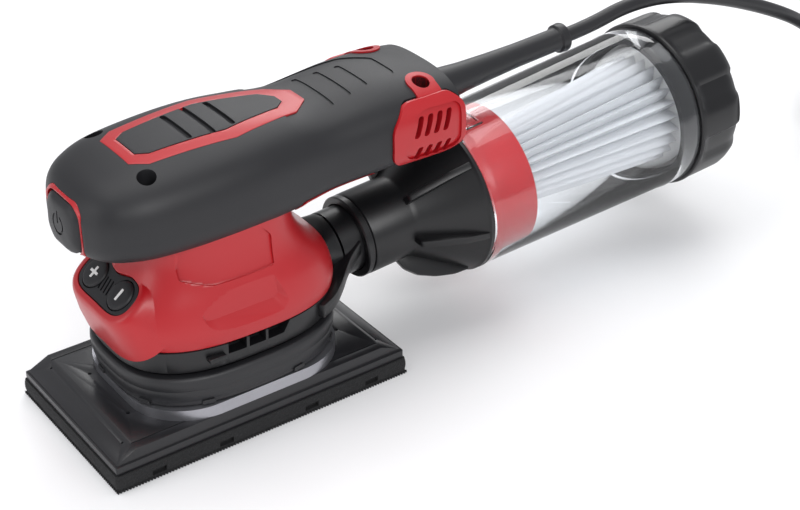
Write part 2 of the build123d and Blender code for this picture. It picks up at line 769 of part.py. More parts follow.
grip_outside = grip_solid(0)
grip_inside = grip_solid(wall)
inlay_outer = [(-35, 11), (-29, 15.5), (6, 18.5), (36, 12), (44, 5)]
inlay_inner = [(-32, 9.2), (-27.6, 12.6), (5.6, 15.6), (34, 9.6), (40.6, 3.6)]
inlay_outer += [(x, -y) for x, y in reversed(inlay_outer)]
inlay_inner += [(x, -y) for x, y in reversed(inlay_inner)]
palm_prism = upright(inlay_inner, low=100)
ring_prism = upright(inlay_outer, low=100) - palm_prism
cheek_outline = [(68, 93), (72, 89), (98, 89), (103, 93), (103, 110), (97, 115), (76, 115), (68, 106)]

with BuildPart() as inlay_ring:
    add(grip_outside)
    add(grip_solid(inlay_depth), mode=Mode.SUBTRACT)
    add(ring_prism, mode=Mode.INTERSECT)
inlay_ring.part.label = "inlay_ring"
export_step(inlay_ring.part, "parts/inlay_ring.step")

front_grooves = ((-9.3, 11.0), (-0.2, 12.5), (9.1, 11.0))
rear_grooves = ((50.8, 14.0), (59.9, 12.5), (68.8, 10.6))
grip_grooved = grip_solid(groove_depth)


def groove_bars(rows, low):
    """Upright bars over the crosswise finger grooves."""
    with BuildPart() as bars:
        with BuildSketch(Plane.XY.offset(low)):
            for x, reach in rows:
                with Locations((x, 0)):
                    SlotOverall(2 * reach, groove_width, rotation=90)
        extrude(amount=30)
    return bars.part


with BuildPart() as palm_pad:
    add(grip_outside)
    add(grip_solid(palm_depth), mode=Mode.SUBTRACT)
    add(palm_prism, mode=Mode.INTERSECT)
    add(groove_bars(front_grooves, 100) - grip_grooved, mode=Mode.SUBTRACT)
palm_pad.part.label = "palm_pad"
export_step(palm_pad.part, "parts/palm_pad.step")

with BuildPart() as button_hole:
    with BuildSketch(Plane.YZ.offset(-70)):
        with Locations((0, (button_low + button_high) / 2)):
            hole_height = button_high - button_low + 2 * panel_gap
            RectangleRounded(2 * (button_half_width + panel_gap), hole_height, 3)
    extrude(amount=30)

with BuildPart() as bezel_block:
    with BuildSketch(Plane.YZ.offset(-70)):
        with Locations((0, (button_low + button_high) / 2)):
            bezel_grow = panel_gap + bezel_width
            bezel_height = button_high - button_low + 2 * bezel_grow
            RectangleRounded(2 * (button_half_width + bezel_grow), bezel_height, 3 + bezel_width)
    extrude(amount=30)

with BuildPart() as grip_wall:
    add(grip_outside)
    add(grip_inside, mode=Mode.SUBTRACT)

with BuildPart() as neck_space:
    loft(skirt_loft(-0.1, 0, 0.1), ruled=True)
    with BuildSketch(key_plane.offset(0.6)):
        SlotCenterToCenter(key_spacing, key_boss_width + 1)
    extrude(amount=20)

with BuildPart() as belly_space:
    with Locations(((belly_start + grip_end) / 2 + 10, 0, belly_split - 20)):
        Box(grip_end - belly_start + 20, 80, 40)

with BuildPart() as button_bezel:
    add(grip_wall.part)
    add(bezel_block.part, mode=Mode.INTERSECT)
    add(button_hole.part, mode=Mode.SUBTRACT)
button_bezel.part.label = "button_bezel"
export_step(button_bezel.part, "parts/button_bezel.step")

cheek_blocks = {}
for name, side in (("near", -1), ("far", 1)):
    with BuildPart() as block:
        with BuildSketch(Plane.XZ.offset(-side * 18)):
            with BuildLine():
                Polyline(*cheek_outline, close=True)
            make_face()
        extrude(amount=-side * 30)
    cheek_blocks[name] = block.part

guard_bore = 8.6
with BuildPart() as guard_hole:
    with BuildSketch(Plane.YZ.offset(grip_end - 12)):
        with Locations((0, guard_root[2])):
            Circle(guard_bore)
    extrude(amount=20)

with BuildPart() as top_grip_shell:
    add(grip_wall.part)
    with BuildSketch(Plane.XY.offset(boss_bottom)):
        with Locations(*screw_spots):
            Circle(5.0)
    boss = extrude(amount=40, mode=Mode.PRIVATE)
    add(boss & grip_outside)
    add(neck_space.part, mode=Mode.SUBTRACT)
    add(belly_space.part, mode=Mode.SUBTRACT)
    add(bezel_block.part, mode=Mode.SUBTRACT)
    for block in cheek_blocks.values():
        add(block, mode=Mode.SUBTRACT)
    add(guard_hole.part, mode=Mode.SUBTRACT)
    add(inlay_ring.part, mode=Mode.SUBTRACT)
    add((palm_prism & grip_outside) - grip_solid(palm_depth), mode=Mode.SUBTRACT)
    add(groove_bars(rear_grooves, 100) - grip_grooved, mode=Mode.SUBTRACT)
    with BuildSketch(Plane.XY.offset(screw_seat)):
        with Locations(*screw_spots):
            Circle(3.5)
    extrude(amount=30, mode=Mode.SUBTRACT)
    with BuildSketch(Plane.XY.offset(boss_bottom)):
        with Locations(*screw_spots):
            Circle(1.7)
    extrude(amount=screw_seat - boss_bottom, mode=Mode.SUBTRACT)
top_grip_shell.part.label = "top_grip_shell"
export_step(top_grip_shell.part, "parts/top_grip_shell.step")

board_posts = [(x, y) for x in (44.0, 76.0) for y in (-15.0, 15.0)]
clamp_x = 88.0
clamp_spots = ((clamp_x, 8.5), (clamp_x, -8.5))
clamp_bottom = guard_root[2] + cord_diameter / 2 - 0.6
clamp_thickness = 3.0
board_bottom = 95.0
board_thickness = 1.6
with BuildPart() as handle_belly:
    add(grip_wall.part)
    add(belly_space.part, mode=Mode.INTERSECT)
    with BuildSketch(Plane.XY.offset(belly_split - 1.8)):
        with Locations(*board_posts):
            Circle(3.0)
    extrude(amount=board_bottom - belly_split + 1.8)
    with BuildSketch(Plane.XY.offset(belly_split - 1.0)):
        with Locations(*screw_spots[2:]):
            Circle(5.0)
    extrude(amount=boss_bottom - belly_split + 1.0)
    with BuildSketch(Plane.XY.offset(belly_split - 1.8)):
        with Locations(*clamp_spots):
            Circle(2.6)
    extrude(amount=clamp_bottom - belly_split + 1.8)
    with BuildSketch(Plane.XY.offset(belly_split)):
        with Locations(*board_posts):
            Circle(1.1)
        with Locations(*clamp_spots):
            Circle(1.25)
    extrude(amount=20, mode=Mode.SUBTRACT)
    with BuildSketch(Plane.XY.offset(belly_split)):
        with Locations(*screw_spots[2:]):
            Circle(1.6)
    extrude(amount=20, mode=Mode.SUBTRACT)
    add(neck_space.part, mode=Mode.SUBTRACT)
handle_belly.part.label = "handle_belly"
export_step(handle_belly.part, "parts/handle_belly.step")

cheek_shell = grip_solid(-cheek_proud) - grip_inside
for name, side in (("near", -1), ("far", 1)):
    with BuildPart() as cheek:
        add(cheek_shell)
        add(cheek_blocks[name], mode=Mode.INTERSECT)
        with BuildSketch(Plane.XZ.offset(-side * 15)):
            with Locations((83.5, 106.2)):
                with GridLocations(6.2, 1, 4, 1):
                    SlotOverall(8.6, 3.2, rotation=72)
            with Locations((81.0, 95.6)):
                with GridLocations(6.2, 1, 4, 1):
                    SlotOverall(7.0, 3.2, rotation=72)
        extrude(amount=-side * 30, mode=Mode.SUBTRACT)
        add(guard_hole.part, mode=Mode.SUBTRACT)
        with BuildSketch(Plane.XY.offset(boss_bottom)):
            with Locations(*screw_spots[2:]):
                Circle(5.0)
        boss = extrude(amount=screw_seat + 20 - boss_bottom, mode=Mode.PRIVATE)
        add(boss, mode=Mode.SUBTRACT)
    cheek.part.label = f"vent_cheek_{name}"
    export_step(cheek.part, f"parts/vent_cheek_{name}.step")

with BuildPart() as grip_screws:
    with BuildSketch(Plane.XY.offset(screw_seat)):
        with Locations(*screw_spots):
            Circle(3.2)
    extrude(amount=2.2)
    with BuildSketch(Plane.XY.offset(screw_seat + 0.8)):
        with Locations(*screw_spots):
            RegularPolygon(1.7, 6)
    extrude(amount=1.4, mode=Mode.SUBTRACT)
    with BuildSketch(Plane.XY.offset(boss_bottom - 3.4)):
        with Locations(*screw_spots):
            Circle(1.45)
    extrude(amount=screw_seat - boss_bottom + 3.4)
grip_screws.part.label = "grip_screws"
export_step(grip_screws.part, "parts/grip_screws.step")

with BuildPart() as control_board:
    with BuildSketch(Plane.XY.offset(board_bottom)):
        with Locations((60, 0)):
            Rectangle(44, 42)
        with Locations(*board_posts):
            Circle(1.2, mode=Mode.SUBTRACT)
    extrude(amount=board_thickness)
control_board.part.label = "control_board"
export_step(control_board.part, "parts/control_board.step")

board_top = board_bottom + board_thickness
with BuildPart() as board_parts:
    with BuildSketch(Plane.XY.offset(board_top)):
        with Locations((54, 0), (66, 0)):
            Circle(5.0)
    extrude(amount=12)
    with BuildSketch(Plane.XY.offset(board_top)):
        with Locations((78, 0)):
            Rectangle(7, 24)
        with Locations((60, 13), (60, -13)):
            Rectangle(12, 8)
    extrude(amount=7)
board_parts.part.label = "board_parts"
export_step(board_parts.part, "parts/board_parts.step")

with BuildPart() as handle_screws:
    with BuildSketch(Plane.XY.offset(board_bottom - 5)):
        with Locations(*board_posts):
            Circle(1.05)
    extrude(amount=5 + board_thickness)
    with BuildSketch(Plane.XY.offset(board_top)):
        with Locations(*board_posts):
            Circle(2.2)
    extrude(amount=1.4)
    with BuildSketch(Plane.XY.offset(clamp_bottom - 6.0)):
        with Locations(*clamp_spots):
            Circle(1.2)
    extrude(amount=6.0 + clamp_thickness)
    with BuildSketch(Plane.XY.offset(clamp_bottom + clamp_thickness)):
        with Locations(*clamp_spots):
            Circle(2.4)
    extrude(amount=1.6)
handle_screws.part.label = "handle_screws"
export_step(handle_screws.part, "parts/handle_screws.step")

# ---------------------------------------------------------------- power button and switch
button_back = -46.0
with BuildPart() as power_button:
    button_middle = (button_low + button_high) / 2
    with BuildSketch(Plane.YZ.offset(button_nose)):
        with Locations((0, button_middle)):
            RectangleRounded(2 * button_half_width, button_high - button_low, 3.0)
    extrude(amount=button_back - button_nose)
    chamfer(power_button.faces().sort_by(Axis.X)[0].edges(), 2.2)
    with BuildSketch(Plane.YZ.offset(button_nose + 4)):
        with Locations((0, button_middle)):
            RectangleRounded(2 * button_half_width - 4, button_high - button_low - 4, 2)
    extrude(amount=20, mode=Mode.SUBTRACT)
    with BuildSketch(Plane.YZ.offset(button_nose + 3.5)):
        with Locations((0, button_middle)):
            Circle(2.5)
    extrude(amount=button_back - button_nose - 3.5)
    with BuildSketch(Plane.YZ.offset(button_nose - 1)):
        with Locations((0, button_middle)):
            Circle(4.2)
            Circle(3.3, mode=Mode.SUBTRACT)
            with Locations((0, 3.8)):
                Rectangle(3.4, 3.4, mode=Mode.SUBTRACT)
            with Locations((0, 3.6)):
                Rectangle(0.9, 3.8)
    extrude(amount=1.35, mode=Mode.SUBTRACT)
power_button.part.label = "power_button"
export_step(power_button.part, "parts/power_button.step")

switch_face = button_back + button_travel + 0.5
with BuildPart() as power_switch:
    with Locations((switch_face + 5, 0, (button_low + button_high) / 2)):
        Box(10, 14, 12)
power_switch.part.label = "power_switch"
export_step(power_switch.part, "parts/power_switch.step")

# ---------------------------------------------------------------- dust box
def turned(points):
    """Solid of revolution about the dust box axis from (radius, distance) points."""
    with BuildPart() as body:
        with BuildSketch(axial_plane):
            with BuildLine():
                Polyline(*points, close=True)
            make_face()
        revolve(axis=box_axis)
    return body.part


funnel_bore = pipe_radius + curved_gap
collar_radius = canister_front_radius - canister_wall - 0.45
collar_bore = collar_radius - 2.0
fin_angles = (35, 90, 145, 215, 270, 325)
with BuildPart() as intake_funnel:
    add(turned([
        (funnel_bore, sleeve_start),
        (sleeve_radius - 0.2, sleeve_start),
        (sleeve_radius - 0.2, 6.8),
        (sleeve_radius - 0.9, 6.9),
        (sleeve_radius - 0.9, 7.6),
        (sleeve_radius, 7.7),
        (sleeve_radius, cone_start),
        (flange_radius - 1.2, flange_end - 2.4),
        (flange_radius, flange_end - 1.8),
        (flange_radius, flange_end),
        (collar_bore, flange_end),
        (collar_bore, flange_end - 3.0),
        (funnel_bore, cone_start + 1.5),
    ]))
    for angle in fin_angles:
        with BuildSketch(axial_plane):
            with BuildLine():
                Polyline(
                    (sleeve_radius - 0.6, cone_start - 1.5),
                    (sleeve_radius + 2.6, cone_start - 1.0),
                    (flange_radius - 0.2, flange_end - 4.5),
                    (flange_radius - 2.4, flange_end - 3.6),
                    close=True,
                )
            make_face()
        fin = extrude(amount=1.5, both=True, mode=Mode.PRIVATE)
        add(fin.rotate(box_axis, angle))
intake_funnel.part.label = "intake_funnel"
export_step(intake_funnel.part, "parts/intake_funnel.step")

red_collar = turned([
    (collar_bore, flange_end),
    (collar_radius, flange_end),
    (collar_radius, collar_end),
    (collar_bore, collar_end),
])
red_collar.label = "red_collar"
export_step(red_collar, "parts/red_collar.step")

canister_start = flange_end + 0.3
canister = turned([
    (canister_front_radius - canister_wall, canister_start),
    (canister_front_radius, canister_start),
    (canister_rear_radius, canister_end),
    (canister_rear_radius - canister_wall, canister_end),
])
canister.label = "canister"
export_step(canister, "parts/canister.step")

spigot_radius = canister_rear_radius - canister_wall - 0.25 - curved_gap
with BuildPart() as end_cap:
    add(turned([
        (spigot_radius - 2.0, canister_end - 9),
        (spigot_radius, canister_end - 9),
        (spigot_radius, canister_end + 0.3),
        (cap_radius - 0.6, canister_end + 0.3),
        (cap_radius, canister_end + 2),
        (cap_radius, cap_end - 9),
        (cap_radius - 1.4, cap_end - 4),
        (cap_radius - 4.2, cap_end),
        (0, cap_end),
        (0, cap_end - 3),
        (spigot_radius - 4.5, cap_end - 3),
        (spigot_radius - 2.0, cap_end - 6),
    ]))
    for index in range(cap_flute_count):
        with BuildPart(mode=Mode.PRIVATE) as flute:
            with BuildSketch(box_plane.offset(canister_end + 5)):
                with Locations((cap_radius + 4.0, 0)):
                    Circle(5.2)
            extrude(amount=40)
        add(flute.part.rotate(box_axis, index * 360 / cap_flute_count), mode=Mode.SUBTRACT)
end_cap.part.label = "end_cap"
export_step(end_cap.part, "parts/end_cap.step")

filter_start = 72.0
filter_end = canister_end - 2.0


def pleat_star(distance, inner, outer):
    """Star outline of the pleats at a distance along the dust box."""
    points = []
    for index in range(2 * pleat_count):
        radius = outer if index % 2 else inner
        angle = math.pi * index / pleat_count
        points.append((radius * math.cos(angle), radius * math.sin(angle)))
    with BuildSketch(box_plane.offset(distance)) as star:
        with BuildLine():
            Polyline(*points, close=True)
        make_face()
    return star.sketch


with BuildPart() as filter_pleats:
    loft([pleat_star(filter_start, 12.0, 16.5), pleat_star(filter_end, 19.0, 27.5)], ruled=True)
    with BuildSketch(box_plane.offset(filter_start)):
        Circle(8.0)
    extrude(amount=filter_end - filter_start, mode=Mode.SUBTRACT)
filter_pleats.part.label = "filter_pleats"
export_step(filter_pleats.part, "parts/filter_pleats.step")

filter_nose = turned([
    (0, filter_start - 4),
    (17.5, filter_start - 4),
    (17.5, filter_start),
    (0, filter_start),
])
filter_nose.label = "filter_nose"
export_step(filter_nose, "parts/filter_nose.step")

filter_flange = turned([
    (14.0, filter_end),
    (30.5, filter_end),
    (30.5, filter_end + 2.5),
    (spigot_radius - 2.0, filter_end + 2.5),
    (spigot_radius - 2.0, filter_end + 5.0),
    (14.0, filter_end + 5.0),
])
filter_flange.label = "filter_flange"
export_step(filter_flange, "parts/filter_flange.step")

# ---------------------------------------------------------------- cable guard and cord
guard_rise = guard_end[2] - guard_root[2]
guard_run = guard_end[0] - guard_root[0]
guard_length = math.hypot(guard_rise, guard_run)
guard_direction = (guard_run / guard_length, 0, guard_rise / guard_length)
guard_plane = Plane(
    origin=guard_root,
    x_dir=(-guard_direction[2], 0, guard_direction[0]),
    z_dir=(0, 1, 0),
)
with BuildPart() as cable_guard:
    with BuildSketch(guard_plane):
        with BuildLine():
            Polyline(
                (0, -8.0),
                (guard_bore + 1.6, -8.0),
                (guard_bore + 1.6, -4.2),
                (guard_bore - 1.0, -4.2),
                (guard_bore - 1.0, 3.0),
                (7.4, 8.0),
                (6.2, 22.0),
                (5.2, 45.0),
                (4.8, guard_length - 5.0),
                (6.3, guard_length - 4.2),
                (6.3, guard_length),
                (0, guard_length),
                close=True,
            )
        make_face()
    revolve(axis=Axis(guard_root, guard_direction))
cable_guard.part.label = "cable_guard"
export_step(cable_guard.part, "parts/cable_guard.step")

lead_end = -18.0
lead_plane = Plane(origin=guard_root, x_dir=(0, 1, 0), z_dir=guard_direction)
with BuildPart() as inner_lead:
    with BuildSketch(lead_plane.offset(-8.0)):
        Circle(cord_radius)
    extrude(amount=lead_end + 8.0)
inner_lead.part.label = "inner_lead"
export_step(inner_lead.part, "parts/inner_lead.step")

with BuildPart() as cord_clamp:
    with BuildSketch(Plane.XY.offset(clamp_bottom)):
        with Locations((clamp_x, 0)):
            Rectangle(7, 24)
        with Locations(*clamp_spots):
            Circle(1.3, mode=Mode.SUBTRACT)
    extrude(amount=clamp_thickness)
cord_clamp.part.label = "cord_clamp"
export_step(cord_clamp.part, "parts/cord_clamp.step")

coil_x, coil_y = coil_centre
coil_outer_radius = (coil_middle_diameter + coil_bundle) / 2
coil_inner_radius = (coil_middle_diameter - coil_bundle) / 2
coil_join_radius = coil_outer_radius - cord_radius
coil_join = (coil_x + coil_join_radius, coil_y, cord_radius)
plug_rest_height = coil_bundle + plug_thickness / 2

cord_points = [
    guard_end,
    (194.0, 0.0, 106.9),
    (214.0, 0.0, 111.2),
    (240.0, 0.0, 109.6),
    (270.0, 0.0, 101.0),
    (300.0, 0.5, 89.0),
    (329.0, 3.0, 74.6),
    (355.0, 12.5, 57.6),
    (379.8, 26.5, 38.6),
    (406.6, 36.2, 17.0),
    (426.2, 31.0, 7.6),
    (441.6, 18.0, 3.7),
    (450.0, 0.5, cord_radius),
    coil_join,
]
tail_points = [
    (362.26, -38.63, coil_bundle - cord_radius),
    (357.58, -24.38, 24.5),
    (360.64, -9.69, 28.5),
    (370.65, 1.50, plug_rest_height),
    (384.90, 6.18, plug_rest_height),
]


def bend_radii(points):
    """Largest arc that the two runs at each corner leave room for."""
    radii = []
    for before, corner, after in zip(points, points[1:], points[2:]):
        run_in = Vector(*corner) - Vector(*before)
        run_out = Vector(*after) - Vector(*corner)
        half_turn = math.radians(run_in.get_angle(run_out)) / 2
        radii.append(0.45 * min(run_in.length, run_out.length) / math.tan(half_turn))
    return radii


def cord_solid(points):
    """Round cord along straight runs joined by tangent arcs."""
    with BuildPart() as tube:
        with BuildLine() as path:
            FilletPolyline(*points, radius=bend_radii(points))
        route = path.wire()
        with BuildSketch(Plane(origin=route @ 0, z_dir=route % 0)):
            Circle(cord_radius)
        sweep()
    print("cord radii", [round(radius, 1) for radius in bend_radii(points)])
    print("volume", round(tube.part.volume), round(math.pi * cord_radius**2 * route.length))
    return tube.part, route.length


cord_tube, tube_length = cord_solid(cord_points)
cord_tube.label = "cord_tube"
export_step(cord_tube, "parts/cord_tube.step")

with BuildPart() as coil_tie:
    with Locations((coil_x, coil_y - coil_middle_diameter / 2, coil_bundle / 2)):
        Box(tie_width, coil_bundle + 2 * tie_thickness, coil_bundle)
        Box(tie_width, coil_bundle, coil_bundle - 2 * tie_thickness, mode=Mode.SUBTRACT)
coil_tie.part.label = "coil_tie"
export_step(coil_tie.part, "parts/coil_tie.step")

cord_tail, tail_length = cord_solid(tail_points)
coil_turns = (cord_length - tube_length - tail_length) / (math.pi * coil_middle_diameter)
print("turns in the coil", round(coil_turns, 2))
cord_tail.label = "cord_tail"
export_step(cord_tail, "parts/cord_tail.step")

with BuildPart() as cord_coil:
    with BuildSketch():
        with Locations((coil_x, coil_y)):
            Circle(coil_outer_radius)
            Circle(coil_inner_radius, mode=Mode.SUBTRACT)
    extrude(amount=coil_bundle)
    add(cord_tube, mode=Mode.SUBTRACT)
    add(cord_tail, mode=Mode.SUBTRACT)
    add(coil_tie.part, mode=Mode.SUBTRACT)
cord_coil.part.label = "cord_coil"
export_step(cord_coil.part, "parts/cord_coil.step")

# ---------------------------------------------------------------- plug
plug_way = (Vector(*tail_points[-1]) - Vector(*tail_points[-2])).normalized()
plug_plane = Plane(origin=tail_points[-1], x_dir=(-plug_way.Y, plug_way.X, 0), z_dir=plug_way)
plug_face = plug_relief_length + plug_length

with BuildPart() as plug_relief:
    with BuildSketch(plug_plane):
        Circle(cord_radius + 1.0)
    with BuildSketch(plug_plane.offset(plug_relief_length)):
        Circle(6.2)
    loft()
plug_relief.part.label = "plug_relief"
export_step(plug_relief.part, "parts/plug_relief.step")

with BuildPart() as plug_body:
    with BuildSketch(plug_plane.offset(plug_relief_length)):
        RectangleRounded(plug_thickness, plug_thickness, 5.5)
    with BuildSketch(plug_plane.offset(plug_relief_length + plug_length * 0.5)):
        RectangleRounded(plug_width - 3, plug_thickness, 5.5)
    with BuildSketch(plug_plane.offset(plug_face)):
        RectangleRounded(plug_width, plug_thickness, 5.5)
    loft(ruled=True)
plug_body.part.label = "plug_body"
export_step(plug_body.part, "parts/plug_body.step")

with BuildPart() as plug_pins:
    with BuildSketch(plug_plane.offset(plug_face)):
        with GridLocations(pin_spacing, 1, 2, 1):
            Circle(pin_radius)
    extrude(amount=pin_length)
plug_pins.part.label = "plug_pins"
export_step(plug_pins.part, "parts/plug_pins.step")
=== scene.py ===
import math

import bmesh
import bpy
from bpy.props import FloatProperty, FloatVectorProperty, IntProperty, PointerProperty
from mathutils import Matrix, Vector


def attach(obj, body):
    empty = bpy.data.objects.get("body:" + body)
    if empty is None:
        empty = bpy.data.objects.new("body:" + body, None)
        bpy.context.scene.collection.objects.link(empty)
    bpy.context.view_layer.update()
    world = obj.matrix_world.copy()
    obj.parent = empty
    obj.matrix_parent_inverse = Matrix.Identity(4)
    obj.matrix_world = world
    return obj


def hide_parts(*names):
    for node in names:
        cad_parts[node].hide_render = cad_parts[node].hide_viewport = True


bl_info = {
    "name": "Orbital sander",
    "version": (1, 0, 0),
    "blender": (4, 5, 0),
    "location": "View3D > Sidebar > Sander",
    "description": "Builds the finished surfaces of an orbital sander around its packed frame",
    "category": "Add Mesh",
}

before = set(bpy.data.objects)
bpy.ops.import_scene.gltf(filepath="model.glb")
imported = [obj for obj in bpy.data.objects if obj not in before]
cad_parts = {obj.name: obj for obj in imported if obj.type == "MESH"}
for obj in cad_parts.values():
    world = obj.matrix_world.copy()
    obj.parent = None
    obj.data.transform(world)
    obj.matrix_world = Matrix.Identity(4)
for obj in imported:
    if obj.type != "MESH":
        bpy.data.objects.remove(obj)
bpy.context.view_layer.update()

MM = 0.001
AROUND = 144                  # points round a section of the housing
TURN_STEPS = 128              # points round a turned piece

# Places shared by several pieces, in millimetres
BOX_ORIGIN = Vector((60.0, 0.0, 46.0))
BOX_TILT = math.radians(4.05)
BOX_WAY = Vector((math.cos(BOX_TILT), 0.0, math.sin(BOX_TILT)))
BOX_UP = Vector((-math.sin(BOX_TILT), 0.0, math.cos(BOX_TILT)))
KEY_ORIGIN = Vector((-42.6, 0.0, 63.3))
KEY_OUT = Vector((-0.62, 0.0, 0.785)).normalized()
KEY_UP = Vector((0.785, 0.0, 0.62)).normalized()
KEY_SIDE = Vector((0.0, 1.0, 0.0))
GUARD_ROOT = Vector((102.0, 0.0, 101.0))
GUARD_END = Vector((178.6, 0.0, 105.9))
SCREWS = ((-32.9, 20.4), (-32.9, -20.4), (89.0, 19.0), (89.0, -19.0))
DUST_HOLES = [(10, 25), (-10, 25), (10, -25), (-10, -25), (37, 6), (-37, 6), (37, -6), (-37, -6)]
NOTCHES = (-48.4, -19.0, 20.2, 49.0)
BELLY_START = 27.0
BELLY_SPLIT = 88.5
PANEL_DEPTH = 0.8
GRIP_ROWS = (
    (-57.0, 15.0, 86.5, 107.0),
    (-53.0, 22.5, 84.5, 111.5),
    (-46.0, 28.0, 83.0, 115.0),
    (-34.0, 32.0, 82.0, 117.8),
    (-12.0, 33.5, 81.5, 119.8),
    (8.0, 33.0, 81.5, 120.3),
    (26.0, 30.5, 81.5, 119.3),
    (44.0, 28.6, 84.0, 117.6),
    (70.0, 29.5, 85.0, 119.6),
    (92.0, 30.4, 85.5, 119.0),
    (102.0, 30.0, 86.5, 118.0),
)
SKIRT_ROWS = (
    (45.0, 0.5, 46.6, 36.3),
    (46.2, 0.5, 47.2, 36.9),
    (52.0, 0.5, 47.5, 37.4),
    (61.0, 0.5, 44.6, 35.4),
    (70.0, -1.0, 37.0, 32.6),
    (78.0, -1.5, 33.0, 31.0),
    (87.5, -1.5, 32.2, 30.2),
)
RING_OUTLINE = [(-35, 11), (-29, 15.5), (6, 18.5), (36, 12), (44, 5)]
PALM_OUTLINE = [(-30.5, 7.2), (-26.2, 10.2), (4.6, 12.8), (30.5, 7.2), (35.4, 2.6)]
CHEEK_OUTLINE = [(68, 93), (72, 89), (98, 89), (103, 93), (103, 110), (97, 115), (76, 115), (68, 106)]


# ---------------------------------------------------------------- shader building
class Value:
    """Shader value that adds a Math node for each operator used on it."""

    def __init__(self, finish, socket):
        self.finish = finish
        self.socket = socket

    def maths(self, operation, *values):
        made = self.finish.add("ShaderNodeMath", {"operation": operation}, dict(enumerate(values)))
        return Value(self.finish, made.outputs[0])

    def __add__(self, other):
        return self.maths("ADD", self, other)

    def __mul__(self, other):
        return self.maths("MULTIPLY", self, other)

    __radd__ = __add__
    __rmul__ = __mul__


class Finish:
    """Material whose nodes are all added by one method."""

    def __init__(self, name):
        self.material = bpy.data.materials.new(name)
        self.material.use_nodes = True
        self.nodes = self.material.node_tree.nodes
        self.links = self.material.node_tree.links
        self.nodes.clear()
        self.place = self.add("ShaderNodeTexCoord").outputs["Object"]

    def add(self, kind, settings=None, values=None):
        node = self.nodes.new(kind)
        for key, value in (settings or {}).items():
            setattr(node, key, value)
        for key, value in (values or {}).items():
            if isinstance(value, Value):
                value = value.socket
            if isinstance(value, bpy.types.NodeSocket):
                self.links.new(value, node.inputs[key])
            else:
                node.inputs[key].default_value = value
        return node

    def noise(self, scale, detail=2.0, stretch=(1, 1, 1), roughness=0.5):
        """Noise over the piece, scale in cells per metre."""
        spread = self.add("ShaderNodeMapping", None, {"Vector": self.place, "Scale": stretch})
        values = {"Vector": spread.outputs[0], "Scale": scale, "Detail": detail, "Roughness": roughness}
        return Value(self, self.add("ShaderNodeTexNoise", None, values).outputs[0])

    def cells(self, scale):
        """Distance to the nearest of scattered points, scale in cells per metre."""
        values = {"Vector": self.place, "Scale": scale}
        return Value(self, self.add("ShaderNodeTexVoronoi", None, values).outputs["Distance"])

    def step(self, value, low, high):
        """Zero below low, one above high, smooth between."""
        settings = {"interpolation_type": "SMOOTHSTEP"}
        made = self.add("ShaderNodeMapRange", settings, {"Value": value, "From Min": low, "From Max": high})
        return Value(self, made.outputs[0])

    def blend(self, factor, first, second):
        """Colour between two colours."""
        made = self.add("ShaderNodeMix", {"data_type": "RGBA"}, {0: factor, 6: first, 7: second})
        return made.outputs[2]

    def bump(self, height, strength, distance_mm):
        values = {"Height": height, "Strength": strength, "Distance": distance_mm * MM}
        return self.add("ShaderNodeBump", None, values).outputs[0]

    def close(self, **values):
        """Ends the material in one Principled shader."""
        named = {key.replace("_", " "): value for key, value in values.items()}
        shader = self.add("ShaderNodeBsdfPrincipled", None, named)
        self.add("ShaderNodeOutputMaterial", None, {"Surface": shader.outputs[0]})
        return self.material


def tint(colour, factor):
    return (*[min(1.0, part * factor) for part in colour[:3]], 1.0)


def moulded(name, colour, roughness, grain_mm, depth_mm, vary=0.12, **extra):
    """Moulded plastic or rubber with a fine spark-eroded grain."""
    finish = Finish(name)
    cloud = finish.noise(45.0, 3.0)
    grain = finish.noise(1 / (grain_mm * MM), 2.0)
    base = finish.blend(cloud, tint(colour, 1 - vary), tint(colour, 1 + vary))
    rough = cloud * 0.1 + grain * 0.12 + (roughness - 0.11)
    return finish.close(
        Base_Color=base, Roughness=rough, Normal=finish.bump(grain, 0.6, depth_mm), **extra
    )


def turned_metal(name, colour, roughness):
    """Machined metal with fine tool marks round the upright axis."""
    finish = Finish(name)
    marks = finish.noise(900.0, 3.0, (0.15, 0.15, 6.0))
    cloud = finish.noise(60.0, 2.0)
    base = finish.blend(cloud, tint(colour, 0.88), tint(colour, 1.06))
    rough = marks * 0.14 + cloud * 0.1 + (roughness - 0.12)
    return finish.close(Base_Color=base, Metallic=0.9, Roughness=rough, Normal=finish.bump(marks, 0.35, 0.03))


def foam_finish(name, colour):
    finish = Finish(name)
    pores_with_painted_shade = finish.cells(1500.0)
    cloud = finish.noise(120.0, 3.0)
    # painted shade: the foam colour is darkened in each pore, where the bump sinks
    base = finish.blend(pores_with_painted_shade, tint(colour, 0.45), tint(colour, 1.25))
    return finish.close(
        Base_Color=base, Roughness=0.85 + cloud * 0.12, Normal=finish.bump(pores_with_painted_shade, 0.9, 0.25)
    )


def hook_finish(name, colour):
    """Field of small hooks on a woven backing, the hooks painted lighter as painted highlights and the backing
    between them darker as painted shade.
    """
    finish = Finish(name)
    hooks = finish.cells(1100.0)
    weave = finish.noise(2500.0, 1.0, (1, 0.3, 1))
    # painted highlight on the hooks and painted shade on the backing between them
    base = finish.blend(hooks, tint(colour, 1.6), tint(colour, 0.4))
    return finish.close(
        Base_Color=base,
        Roughness=0.8 + weave * 0.15,
        Normal=finish.bump(hooks + weave * 0.4, 1.0, 0.3),
    )


def paper_finish(name, colour):
    finish = Finish(name)
    fibres = finish.noise(700.0, 5.0, (0.4, 1, 1), 0.7)
    dust = finish.noise(30.0, 3.0)
    base = finish.blend(dust, tint(colour, 0.93), tint(colour, 1.03))
    return finish.close(
        Base_Color=base, Roughness=0.8 + fibres * 0.15, Normal=finish.bump(fibres, 0.5, 0.12)
    )


